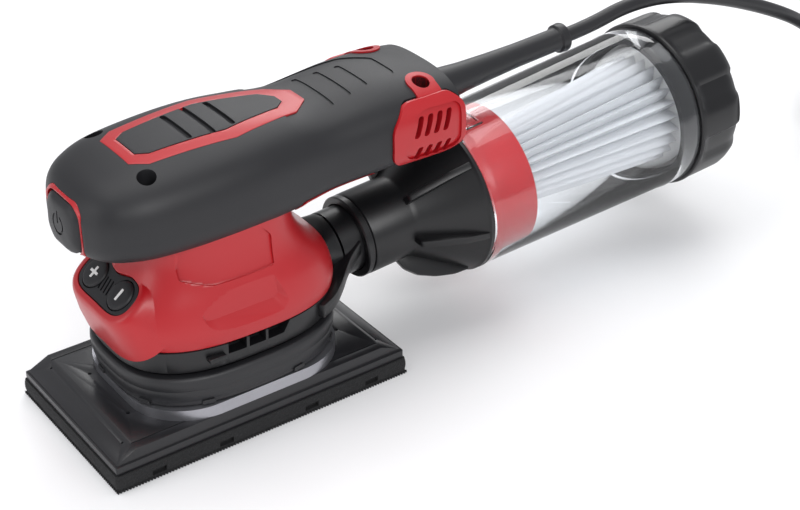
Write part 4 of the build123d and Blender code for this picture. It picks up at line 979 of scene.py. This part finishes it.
# ---------------------------------------------------------------- lower housing
class SANDER_OT_seal(bpy.types.Operator):
    """Makes the ribbed rubber ring above the pad and its clips"""

    bl_idname = "sander.seal"
    bl_label = "Seal ring"

    def execute(self, context):
        rows = ((20.5, 45.0, 36.3), (20.6, 45.7, 37.0), (21.5, 46.0, 37.3), (22.0, 45.8, 37.1),
                (22.8, 46.1, 37.4),
                (25.0, 46.7, 37.9), (27.2, 47.15, 38.15), (27.7, 46.95, 37.95), (28.2, 47.2, 38.2),
                (30.6, 47.5, 38.3), (32.2, 47.4, 38.0), (33.1, 46.9, 37.5), (33.4, 46.2, 36.9),
                (33.4, 43.8, 34.4), (20.5, 42.6, 33.8))
        rings = [oval_ring(z, 0, a, b) for z, a, b in rows]
        ring = loft("seal_ring_bellows", rings, closed=True, smooth_angle=50)
        settle(ring, "housing", "seal_rubber", ["seal_ring"])
        tab_outline = rounded([(-2.8, -0.9), (2.8, -0.9), (2.3, 0.9), (-2.3, 0.9)], 0.4, 3)
        tab = prism(tab_outline, "y", -0.5, 0.5)
        spots = []
        for angle in (24, 62, 98, 140, 172, 206, 247, 285, 322, 352):
            turn = math.radians(angle)
            x = 46.1 * signed_power(math.cos(turn), 2 / 2.7)
            y = 37.4 * signed_power(math.sin(turn), 2 / 2.7)
            slope_x = signed_power(math.cos(turn), 2 - 2 / 2.7) / 46.1
            slope_y = signed_power(math.sin(turn), 2 - 2 / 2.7) / 37.4
            spots.append(((x, y, 21.6), (0, 0, math.atan2(slope_y, slope_x) + math.pi / 2)))
        settle(copies("seal_clips", tab, spots, finishes["seal_rubber"]), "housing", "seal_rubber")
        return {"FINISHED"}


class SANDER_OT_shroud(bpy.types.Operator):
    """Makes the black shroud with its windows and the dust duct"""

    bl_idname = "sander.shroud"
    bl_label = "Shroud and duct"

    def execute(self, context):
        rows = ((33.0, 43.6, 34.0), (34.6, 43.6, 34.0), (35.0, 45.6, 35.8), (35.6, 46.1, 36.2),
                (44.6, 46.7, 36.7), (45.0, 46.0, 36.0), (45.1, 43.9, 33.9), (54.0, 43.9, 33.9))
        shroud = loft("dust_shroud_body", [oval_ring(z, 0, a, b) for z, a, b in rows])
        tools = []
        for side in (-1, 1):
            for low, high in ((-13.4, -5.6), (-4.4, 2.9), (4.0, 14.2)):
                slant = 3.0 if high > 10 else 0.0
                outline = [(low, 40.0), (high - slant, 40.0), (high, 44.9), (low, 44.9)]
                tools.append(side_prism(outline, side, 28, 44))
            tools.append(side_prism([(-24, 36.2), (-15, 36.2), (-15, 38), (-24, 38)], side, 35.6, 44))
        tools.append(prism(rounded([(-16, 39.2), (16, 39.2), (19, 44.9), (-19, 44.9)], 0.8), "x", -55, -38))
        carve(shroud, tools)
        soften_edges(shroud, 0.22)
        settle(shroud, "housing", "black_plastic", ["dust_shroud"])
        lip_rings = []
        for x in (-22.4, -15.2):
            y = -36.9
            lip_rings.append([(x, y - 0.9, 41.4), (x, y + 2, 41.4), (x, y + 2, 39.8), (x, y - 1.3, 39.8)])
        lip = loft("window_bracket", lip_rings)
        soften_edges(lip, 0.2)
        settle(lip, "housing", "black_plastic")
        self.duct()
        return {"FINISHED"}

    def duct(self):
        """Pipe to the dust box, growing out of the shroud, with its webs."""
        rings = []
        for step in range(15):
            share = step / 14
            ease = smoothstep(share, 0.0, 1.0)
            start = Vector((40.0, 0.0, 44.0))
            end = BOX_ORIGIN - BOX_WAY * 6.0
            middle = start.lerp(end, share)
            power = 5.0 - 3.0 * ease
            width, height = 14.4, 9.8 + 4.6 * ease
            up = Vector((0, 0, 1)).lerp(BOX_UP, share)
            ring = []
            for index in range(TURN_STEPS):
                turn = 2 * math.pi * index / TURN_STEPS
                across = width * signed_power(math.cos(turn), 2 / power)
                rise = height * signed_power(math.sin(turn), 2 / power)
                ring.append(tuple(middle + Vector((0, across, 0)) + up * rise))
            rings.append(ring)
        for radius, distance in ((14.4, -5.0), (14.4, 25.5), (14.0, 26.0), (12.2, 26.0), (12.2, -5.0)):
            turns = [90 - 360 * index / TURN_STEPS for index in range(TURN_STEPS)]
            rings.append([tuple(box_point(distance, radius, turn)) for turn in turns])
        pipe = loft("outlet_pipe", rings)
        settle(pipe, "housing", "black_plastic", ["outlet_duct"])
        for side in (-1, 1):
            self.web(side)

    def web(self, side):
        """Curved flange from the shroud's rear corner up to the pipe."""
        rings = []
        path = ((30.0, 33.4, 40.5), (38.0, 29.6, 41.0), (45.5, 23.5, 42.0), (51.0, 18.6, 43.6),
                (56.0, 15.4, 46.0), (61.5, 13.8, 49.5))
        for x, y, z in smooth_rows(path, 5):
            thick = 1.3
            rings.append([
                (x - thick, side * (y - 4.5), z - 3.2), (x + thick, side * (y + 0.6), z - 3.2),
                (x + thick, side * (y + 0.6), z + 2.6), (x - thick, side * (y - 4.5), z + 2.6),
            ])
        web = loft(f"duct_web_{'near' if side < 0 else 'far'}", rings)
        soften_edges(web, 0.4)
        settle(web, "housing", "black_plastic")


def key_point(side, up, out):
    """Point in the key panel's own directions."""
    return KEY_ORIGIN + KEY_SIDE * side + KEY_UP * up + KEY_OUT * out


def kidney(reach, dip, count=72):
    """Outline of the key panel: two round ends, hollowed on its upper side."""
    outline = []
    for index in range(count):
        turn = 2 * math.pi * index / count
        side, up = math.cos(turn), math.sin(turn)
        x = 10.0 * math.tanh(2.4 * side) / math.tanh(2.4) + reach * side
        hollow = dip * math.exp(-((x / 6.5) ** 2)) if up > 0 else -0.6 * math.exp(-((x / 9.0) ** 2))
        outline.append((x, reach * signed_power(up, 0.8) - hollow))
    return outline


class SANDER_OT_housing(bpy.types.Operator):
    """Makes the red motor housing with its key boss, scoops and blank name panels"""

    bl_idname = "sander.housing"
    bl_label = "Motor housing"

    def execute(self, context):
        rings = [oval_ring(z, mid, a, b, 2.7, 240) for z, mid, a, b in smooth_rows(SKIRT_ROWS, 7)]
        housing = loft("motor_housing_shell", rings, smooth_angle=40)
        boss_rings = []
        boss_rows = ((-16.0, 10.5), (-9.0, 8.0), (-4.0, 5.6), (-1.2, 4.2), (0.3, 3.0), (0.9, 1.8))
        for out, grow in boss_rows:
            boss_rings.append([tuple(key_point(x, y, out)) for x, y in kidney(8.6 + grow, 2.2)])
        boss = loft("boss", boss_rings, smooth_angle=60)
        carve(housing, [boss], "UNION", 40)
        well_rings = [[tuple(key_point(x, y, out)) for x, y in kidney(8.75, 3.0)] for out in (-5.6, 5.0)]
        tools = [loft("tool", well_rings)]
        for side in (-1, 1):
            tools.append(self.scoop(side))
            tools.append(self.name_panel(side))
        carve(housing, tools, smooth_angle=40)
        soften_edges(housing, 0.5, 30.0, 3)
        settle(housing, "housing", "red_plastic", ["motor_housing"])
        return {"FINISHED"}

    def scoop(self, side):
        """Tool that hollows the trapezoid scoop in the housing's side."""
        outer = [(-31.0, 73.0), (-26.4, 58.0), (-22.0, 50.0), (-17.0, 48.2), (12.8, 48.2),
                 (17.4, 52.0), (11.6, 70.5)]
        inner = [(-26.4, 70.0), (-23.2, 61.0), (-20.8, 56.6), (-18.0, 55.8), (8.8, 55.8),
                 (11.0, 57.2), (8.6, 70.0)]
        rings = []
        for outline, depth in ((outer, 39.5), (inner, 33.8)):
            rings.append([(x, side * depth, z) for x, z in rounded(outline, 1.6)])
        return loft("tool", rings)

    def name_panel(self, side):
        """Tool for the shallow recess of the blank name panel."""
        corners = [(-26.8, 72.3), (-15.3, 68.9), (10.8, 69.2), (11.6, 80.6), (8.4, 84.5), (-26.8, 84.5)]
        outline = rounded(corners, 1.0)
        tool = side_prism(outline, side, 24.0, 45.0)
        rows = [(z, mid, a - PANEL_DEPTH, b - PANEL_DEPTH) for z, mid, a, b in smooth_rows(SKIRT_ROWS, 7)]
        carve(tool, [loft("floor", [oval_ring(*row, 2.7, 240) for row in rows])])
        return tool


class SANDER_OT_keys(bpy.types.Operator):
    """Makes the speed key panel, the two keys and their marks"""

    bl_idname = "sander.keys"
    bl_label = "Speed keys"

    def execute(self, context):
        rings = [[tuple(key_point(x, y, out)) for x, y in kidney(reach, 3.0)]
                 for out, reach in ((-2.4, 8.55), (0.3, 8.55), (0.75, 8.2))]
        panel = loft("key_panel_plate", rings)
        tools = []
        for side in (-10, 10):
            tools.append(self.round_tool(side, 6.6, -5.0, 5.0))
        for index in range(5):
            middle = (index - 2) * 2.1
            corners = [(middle - 1.5, -3.7), (middle - 0.6, -3.7), (middle + 0.9, 2.3), (middle, 2.3)]
            bar = rounded(corners, 0.4, 3)
            tools.append(loft("tool", [[tuple(key_point(x, y, out)) for x, y in bar] for out in (0.0, 3.0)]))
        carve(panel, tools)
        settle(panel, "housing", "grip_rubber", ["key_panel"])
        for name, side in (("speed_up_key", 10), ("speed_down_key", -10)):
            rows = ((-2.2, 6.15), (0.9, 6.15), (1.45, 5.8), (1.7, 5.2), (1.62, 3.0), (1.58, 1.0))
            key = loft(name + "_cap", [self.ring(side, reach, out) for out, reach in rows])
            settle(key, name, "grip_rubber", [name])
            bars = [rounded([(-2.5, -0.55), (2.5, -0.55), (2.5, 0.55), (-2.5, 0.55)], 0.15, 2)]
            if side > 0:
                bars.append([(y, x) for x, y in bars[0]])
            else:
                bars = [[(y, x) for x, y in bars[0]]]
            marks = []
            for bar in bars:
                mark_rings = [[tuple(key_point(side + x, y, out)) for x, y in bar] for out in (1.3, 1.82)]
                marks.append(loft("mark", mark_rings))
            mark = marks[0]
            mark.name = name + "_mark"
            if len(marks) > 1:
                carve(mark, marks[1:], "UNION")
            settle(mark, name, "white_plastic")
        return {"FINISHED"}

    def ring(self, side, reach, out):
        return [tuple(key_point(x, y, out)) for x, y in circle(side, 0, reach, 48)]

    def round_tool(self, side, reach, low, high):
        return loft("tool", [self.ring(side, reach, out) for out in (low, high)])


# ---------------------------------------------------------------- grip
def button_outline(grow):
    half, low, high = 12.0 + grow, 86.0 - grow, 106.0 + grow
    corners = [(-half, low + 3.5), (-half + 4.5, low), (half - 4.5, low), (half, low + 3.5),
               (half, high - 3.5), (half - 4.0, high), (-half + 4.0, high), (-half, high - 3.5)]
    return rounded(corners, 2.2)


def screw_tools(radius, low, high, spots=SCREWS):
    return [prism(circle(x, y, radius, 40), "z", low, high) for x, y in spots]


def cross_bar(x, reach, width, low, high):
    """Rounded bar across the grip."""
    half = width / 2
    outline = rounded([(x - half, -reach), (x + half, -reach), (x + half, reach), (x - half, reach)], half, 4)
    return prism(outline, "z", low, high)


class SANDER_OT_grip(bpy.types.Operator):
    """Makes the grip shell, its red inlay ring, palm pad, belly and screws"""

    bl_idname = "sander.grip"
    bl_label = "Grip"

    def execute(self, context):
        self.shell()
        self.inlay()
        self.palm()
        self.belly()
        self.bezel()
        self.screws()
        return {"FINISHED"}

    def grooved(self, grooves):
        """Tools that leave a floor following the crown."""
        floor = grip_body("floor", sizes().groove_depth, 5)
        tools = []
        for x, reach in grooves:
            bar = cross_bar(x, reach, 2.3, 100, 140)
            tools.append(bar)
        first = tools[0]
        if len(tools) > 1:
            carve(first, tools[1:], "UNION")
        carve(first, [floor])
        return first

    def shell(self):
        shell = grip_body("grip_shell", 0.0)
        recess_outline = mirrored([(30, -23.5), (43, -24.4), (74, -17.8), (84, -8)])
        recess = prism(rounded(recess_outline, 1.5), "z", 100, 140)
        carve(recess, [grip_body("floor", 0.45, 5)])
        tools = [
            recess,
            prism(mirrored(RING_OUTLINE), "z", 112.0, 140.0),
            prism(button_outline(1.8), "x", -75.0, -44.5),
            box_tool((BELLY_START, -60, 50), (140, 60, BELLY_SPLIT)),
            prism(circle(0, GUARD_ROOT.z, 8.8, 48), "x", 90.0, 120.0),
            self.grooved(((50.8, 14.0), (59.9, 12.5), (68.8, 10.6))),
        ]
        for side in (-1, 1):
            outline = rounded(CHEEK_OUTLINE, 3.0)
            tools.append(side_prism(outline, side, 24, 60))
        tools += screw_tools(3.6, 108.0, 140.0)
        for tool in tools:
            carve(shell, [tool])
        settle(shell, "housing", "grip_rubber", ["top_grip_shell"])

    def inlay(self):
        ring = grip_body("inlay_ring_band", -0.12)
        carve(ring, [prism(mirrored(RING_OUTLINE), "z", 112.5, 140.0)], "INTERSECT")
        inner = prism(mirrored(PALM_OUTLINE), "z", 100.0, 150.0)
        carve(ring, [inner])
        soften_edges(ring, 0.3)
        settle(ring, "housing", "red_plastic", ["inlay_ring"])

    def palm(self):
        pad = grip_body("palm_pad_dome", -0.35)
        outline = [(x * 0.995, y * 0.985) for x, y in PALM_OUTLINE]
        carve(pad, [prism(mirrored(outline), "z", 112.5, 140.0)], "INTERSECT")
        soften_edges(pad, 0.5, 35.0, 3)
        carve(pad, [self.grooved(((-9.3, 11.0), (-0.2, 12.5), (9.1, 11.0)))])
        settle(pad, "housing", "grip_rubber", ["palm_pad"])

    def belly(self):
        belly = grip_body("handle_belly_shell", 0.0)
        keep = box_tool((BELLY_START + 0.2, -60, 60), (140, 60, BELLY_SPLIT - 1.1))
        carve(belly, [keep], "INTERSECT")
        soften_edges(belly, 0.4)
        settle(belly, "housing", "black_plastic", ["handle_belly"])
        for side, name in ((-1, "near"), (1, "far")):
            strip = grip_body("lining_" + name, -0.3)
            low, high = (-60, 0) if side < 0 else (0, 60)
            outline = [(25.2, 84.6), (26.8, 84.6), (29.6, 87.4), (61.0, 87.4), (63.4, 85.2), (64.6, 85.2),
                       (61.8, 88.6), (28.6, 88.6)]
            carve(strip, [prism(outline, "y", low + side * -12, high + side * -12)], "INTERSECT")
            settle(strip, "housing", "red_plastic")

    def bezel(self):
        bezel = grip_body("button_bezel_rim", -0.25)
        carve(bezel, [prism(button_outline(1.7), "x", -75.0, -46.0)], "INTERSECT")
        carve(bezel, [prism(button_outline(0.6), "x", -80.0, -40.0)])
        settle(bezel, "housing", "red_plastic", ["button_bezel"])
        well = prism(button_outline(1.75), "x", -46.2, -44.4, "button_well")
        carve(well, [prism(circle(0, 96, 3.2, 32), "x", -50, -40)])
        settle(well, "housing", "black_plastic")

    def screws(self):
        rows = ((108.0, 3.3), (109.9, 3.3), (110.3, 2.9), (110.4, 2.4))
        head = loft("head", [[(x, y, z - 108.0) for x, y in circle(0, 0, reach, 32)] for z, reach in rows])
        socket = [(1.7 * math.cos(i * math.pi / 3), 1.7 * math.sin(i * math.pi / 3)) for i in range(6)]
        carve(head, [prism(socket, "z", 0.8, 4.0)])
        spots = [((x, y, 108.05), (0, 0, 0.4 * index)) for index, (x, y) in enumerate(SCREWS)]
        heads = copies("grip_screw_heads", head, spots, finishes["dark_steel"])
        settle(heads, "housing", "steel", ["grip_screws"])


class SANDER_OT_button(bpy.types.Operator):
    """Makes the power button with its sunk symbol"""

    bl_idname = "sander.button"
    bl_label = "Power button"

    def execute(self, context):
        rings = []
        face_rows = ((0.0, -47.6), (0.0, -57.4), (-0.5, -58.4), (-1.4, -59.2), (-2.6, -59.7), (-6.0, -60.0))
        for grow, x in face_rows:
            ring = []
            for y, z in button_outline(grow):
                lean = 0.0 if x > -50 else 0.006 * y * y + 0.05 * (z - 96)
                ring.append((x + lean * 0.7, y, z))
            rings.append(ring)
        button = loft("power_button_paddle", rings)
        face = -60.0
        outer = circle(0, 96, 4.2, 40)
        ring_tool = prism(outer, "x", face - 3, face + 0.45)
        carve(ring_tool, [prism(circle(0, 96, 3.3, 40), "x", face - 5, face + 3),
                          box_tool((face - 5, -1.5, 97), (face + 3, 1.5, 104))])
        bar_corners = [(-0.45, 96.4), (0.45, 96.4), (0.45, 101.4), (-0.45, 101.4)]
        bar = prism(rounded(bar_corners, 0.3, 3), "x", face - 3, face + 0.45)
        carve(button, [ring_tool, bar])
        settle(button, "power_button", "grip_rubber", ["power_button"])
        return {"FINISHED"}


class SANDER_OT_cheeks(bpy.types.Operator):
    """Makes the red vent cheeks with their slots and screw rims"""

    bl_idname = "sander.cheeks"
    bl_label = "Vent cheeks"

    def execute(self, context):
        for side, name in ((-1, "near"), (1, "far")):
            self.cheek(side, name)
        return {"FINISHED"}

    def cheek(self, side, name):
        corners = [(68.3, 93), (72, 89.3), (98, 89.3), (102.6, 93), (102.6, 110), (97, 114.6),
                   (76, 114.6), (68.3, 106)]
        outline = rounded(corners, 3.0)
        cheek = grip_body("vent_cheek_" + name + "_grille", -1.0)
        carve(cheek, [side_prism(outline, side, 25, 60)], "INTERSECT")
        rim_body = grip_body("rim", -0.7)
        lobe = prism(circle(89, side * 19, 6.1, 40), "z", 106, 140)
        foot = box_tool((83.2, min(side * 19, side * 31), 106), (94.8, max(side * 19, side * 31), 140))
        carve(lobe, [foot], "UNION")
        carve(rim_body, [lobe], "INTERSECT")
        carve(cheek, [rim_body], "UNION")
        recess_corners = [(73.4, 94.6), (76.6, 91.2), (98.0, 91.2), (100.2, 94.0), (100.4, 108.6),
                          (98.6, 110.6), (84.0, 111.2), (78.6, 109.4)]
        recess = rounded(recess_corners, 2.0)
        pocket = side_prism(recess, side, 25, 60)
        carve(pocket, [grip_body("floor", -0.15, 5)])
        tools = [pocket]
        slots = [(80.6 + 4.45 * column, z, length)
                 for z, length in ((104.3, 8.6), (93.2, 5.0)) for column in range(4)]
        for x, z, length in slots:
            lean = length * 0.16
            half = 1.25
            corners = [(x - lean - half, z - length / 2), (x - lean + half, z - length / 2),
                       (x + lean + half, z + length / 2), (x + lean - half, z + length / 2)]
            tools.append(side_prism(rounded(corners, 1.2, 4), side, 20, 60))
        tools += screw_tools(3.6, 108.0, 140.0, SCREWS[2:])
        for tool in tools:
            carve(cheek, [tool])
        settle(cheek, "housing", "red_plastic", ["vent_cheek_" + name])


# ---------------------------------------------------------------- dust box
class SANDER_OT_funnel(bpy.types.Operator):
    """Makes the black intake funnel with its fins"""

    bl_idname = "sander.funnel"
    bl_label = "Intake funnel"

    def execute(self, context):
        profile = [(14.9, 4.3), (17.2, 4.3), (17.7, 4.8), (17.7, 7.0), (17.3, 7.3), (16.9, 7.4),
                   (16.9, 7.9),
                   (17.5, 8.2), (17.8, 8.8), (17.8, 28.0), (18.1, 29.2), (18.9, 30.6), (33.2, 53.4),
                   (33.9, 54.0), (34.5, 54.5), (34.5, 55.8), (34.2, 56.2), (30.3, 56.2), (30.3, 53.4),
                   (14.9, 30.6)]
        funnel = turned("intake_funnel_body", profile)
        settle(funnel, "dust_box", "black_plastic", ["intake_funnel"])
        upper = [(17.0, 27.0), (22.4, 27.2), (25.6, 33.0), (31.2, 44.0), (34.2, 54.2), (31.0, 53.6),
                 (17.0, 30.0)]
        lower = [(17.0, 22.4), (22.6, 25.0), (27.2, 30.0), (31.0, 38.0), (33.2, 46.0), (33.8, 53.6),
                 (30.6, 53.6), (17.0, 30.0)]
        half = 1.5
        blades = [(angle, upper) for angle in (42, 97, 263, 318)]
        blades += [(angle, lower) for angle in (150, 210)]
        for index, (angle, outline) in enumerate(blades):
            rings = []
            side = Vector((0, -math.cos(math.radians(angle)), 0)) - BOX_UP * math.sin(math.radians(angle))
            for shift in (-half, half):
                rings.append([tuple(box_point(s, r, angle) + side * shift) for r, s in rounded(outline, 1.2, 3)])
            fin = loft(f"funnel_fin_{index + 1}", rings)
            soften_edges(fin, 0.35)
            settle(fin, "dust_box", "black_plastic")
        return {"FINISHED"}


class SANDER_OT_canister(bpy.types.Operator):
    """Makes the clear canister, the red collar inside it and the filter"""

    bl_idname = "sander.canister"
    bl_label = "Canister and filter"

    def execute(self, context):
        collar_profile = [(30.4, 56.4), (32.1, 56.4), (32.3, 57.0), (32.3, 79.8), (31.9, 80.4), (30.4, 80.4)]
        collar = turned("red_collar_band", collar_profile)
        settle(collar, "dust_box", "red_plastic", ["red_collar"])
        profile = [(32.9, 56.6), (34.0, 56.5), (34.6, 57.0), (34.6, 59.2), (34.25, 59.8), (34.4, 62.0),
                   (36.7, 160.0), (37.0, 160.6), (37.0, 169.4), (36.6, 170.0), (35.5, 170.0), (35.3, 161.0),
                   (34.9, 158.0), (32.9, 62.0)]
        clear = turned("canister_clear_wall", profile, smooth_angle=35.0)
        settle(clear, "canister", "clear_plastic", ["canister"])
        lock_rings = []
        for corners, rise in ((((61.5, -9), (70.5, -9), (70.5, 9), (61.5, 9)), 0.0),
                              (((61.9, -8.4), (70.1, -8.4), (70.1, 8.4), (61.9, 8.4)), 0.9),
                              (((63.4, -6.2), (68.6, -6.2), (68.6, 6.2), (63.4, 6.2)), 0.9),
                              (((63.4, -6.2), (68.6, -6.2), (68.6, 6.2), (63.4, 6.2)), 0.0)):
            ring = []
            for s, angle in rounded(corners, 1.0, 3):
                ring.append(tuple(box_point(s, 34.35 + (s - 60) * 0.0235 + rise, angle + 8)))
            lock_rings.append(ring)
        lock = loft("canister_lock_window", lock_rings, closed=True)
        settle(lock, "canister", "clear_plastic")
        fleece = finishes["filter_paper"]
        filter_piece = pleated_cone("filter_pleats_fleece", fleece, sizes().pleats, 72.0, 168.0)
        settle(filter_piece, "cap", "filter_paper", ["filter_pleats"])
        return {"FINISHED"}


class SANDER_OT_cap(bpy.types.Operator):
    """Makes the fluted end cap"""

    bl_idname = "sander.cap"
    bl_label = "End cap"

    def execute(self, context):
        count = sizes().flutes
        profile = [(35.2, 161.4), (35.2, 170.2), (37.6, 170.3), (38.2, 170.8), (38.4, 171.6), (38.4, 173.0)]
        profile += [(38.4, 174.0 + 2.0 * step) for step in range(8)]
        for step in range(1, 9):
            turn = step * math.pi / 16
            profile.append((28.4 + 10.0 * math.cos(turn) ** 0.8, 188.0 + 10.0 * math.sin(turn)))
        profile += [(28.0, 198.3), (24.0, 198.9), (12.0, 199.0), (0.0, 199.0), (0.0, 196.0), (30.0, 196.0),
                    (33.2, 192.0), (33.2, 161.4)]

        def flute(angle, distance, radius):
            if radius < 26 or distance < 171.5:
                return 0.0
            share = (angle * count / 360.0 + 0.28) % 1.0
            edge = smoothstep(share, 0.0, 0.16) * (1 - smoothstep(share, 0.60, 0.66))
            run = smoothstep(distance, 171.5, 174.5)
            return -1.5 * (1 - edge) * run

        cap = turned("end_cap_fluted", profile, flute, 30.0)
        settle(cap, "cap", "black_plastic", ["end_cap"])
        return {"FINISHED"}


class SANDER_OT_guard(bpy.types.Operator):
    """Makes the tapered cable guard"""

    bl_idname = "sander.guard"
    bl_label = "Cable guard"

    def execute(self, context):
        way = (GUARD_END - GUARD_ROOT).normalized()
        length = (GUARD_END - GUARD_ROOT).length
        up = Vector((-way.z, 0, way.x))
        rows = ((-7.5, 8.4), (3.0, 8.4), (5.0, 8.1), (10.0, 7.5), (22.0, 6.3), (36.0, 5.6), (50.0, 5.1),
                (length - 6.0, 4.95), (length - 4.6, 5.2), (length - 3.9, 6.2), (length - 1.0, 6.4),
                (length - 0.2, 6.1), (length, 5.4), (length, 3.4), (length - 6.0, 3.3))
        rings = []
        for distance, radius in rows:
            ring = []
            for step in range(64):
                turn = 2 * math.pi * step / 64
                ring.append(tuple(GUARD_ROOT + way * distance + up * radius * math.cos(turn)
                                  + Vector((0, radius * math.sin(turn), 0))))
            rings.append(ring)
        settle(loft("cable_guard_sleeve", rings, smooth_angle=40), "housing", "cord_rubber", ["cable_guard"])
        return {"FINISHED"}


class SANDER_OT_inside(bpy.types.Operator):
    """Gives the parts inside the machine and the hub their finishes"""

    bl_idname = "sander.inside"
    bl_label = "Inner parts"

    def execute(self, context):
        coats = {
            "steel": ("pad_screws", "pad_bearing", "bearing_circlip", "motor_shaft", "balance_weight",
                      "leg_screws", "lower_bearing", "upper_bearing", "handle_screws"),
            "hub_metal": ("pad_carrier", "bearing_bracket"),
            "white_plastic": ("fan_wheel", "filter_nose", "filter_flange"),
            "laminations": ("rotor_core", "stator_core"),
            "magnet": ("rotor_magnets",),
            "seal_rubber": ("outlet_seal", "support_legs"),
            "black_plastic": ("inlet_plate", "motor_cradle", "power_switch", "board_parts", "cord_clamp"),
            "copper": ("stator_windings",),
            "board": ("key_board", "control_board"),
            "cord_rubber": ("inner_lead",),
        }
        for slot, nodes in coats.items():
            for node in nodes:
                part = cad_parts[node]
                part.data.materials.clear()
                part.data.materials.append(finishes[slot])
        return {"FINISHED"}


class SANDER_PT_panel(bpy.types.Panel):
    """Lists the sander's sizes, colours and pieces"""

    bl_idname = "SANDER_PT_panel"
    bl_label = "Orbital sander"
    bl_space_type = "VIEW_3D"
    bl_region_type = "UI"
    bl_category = "Sander"

    def draw(self, context):
        for group in (context.scene.sander_sizes, context.scene.sander_colours):
            for name in group.__annotations__:
                self.layout.prop(group, name)
        for operator in OPERATORS:
            self.layout.operator(operator.bl_idname)


OPERATORS = (
    SANDER_OT_stage, SANDER_OT_cord, SANDER_OT_pad, SANDER_OT_seal, SANDER_OT_shroud, SANDER_OT_housing,
    SANDER_OT_keys, SANDER_OT_grip, SANDER_OT_button, SANDER_OT_cheeks, SANDER_OT_funnel, SANDER_OT_canister,
    SANDER_OT_cap, SANDER_OT_guard, SANDER_OT_inside,
)
GROUPS = (SanderSizes, SanderColours)


def register():
    for item in (*GROUPS, *OPERATORS, SANDER_PT_panel):
        bpy.utils.register_class(item)
    bpy.types.Scene.sander_sizes = PointerProperty(type=SanderSizes)
    bpy.types.Scene.sander_colours = PointerProperty(type=SanderColours)


def unregister():
    del bpy.types.Scene.sander_colours
    del bpy.types.Scene.sander_sizes
    for item in reversed((*GROUPS, *OPERATORS, SANDER_PT_panel)):
        bpy.utils.unregister_class(item)


def main():
    register()
    for operator in OPERATORS:
        group, name = operator.bl_idname.split(".")
        getattr(getattr(bpy.ops, group), name)()


if __name__ == "__main__":
    main()
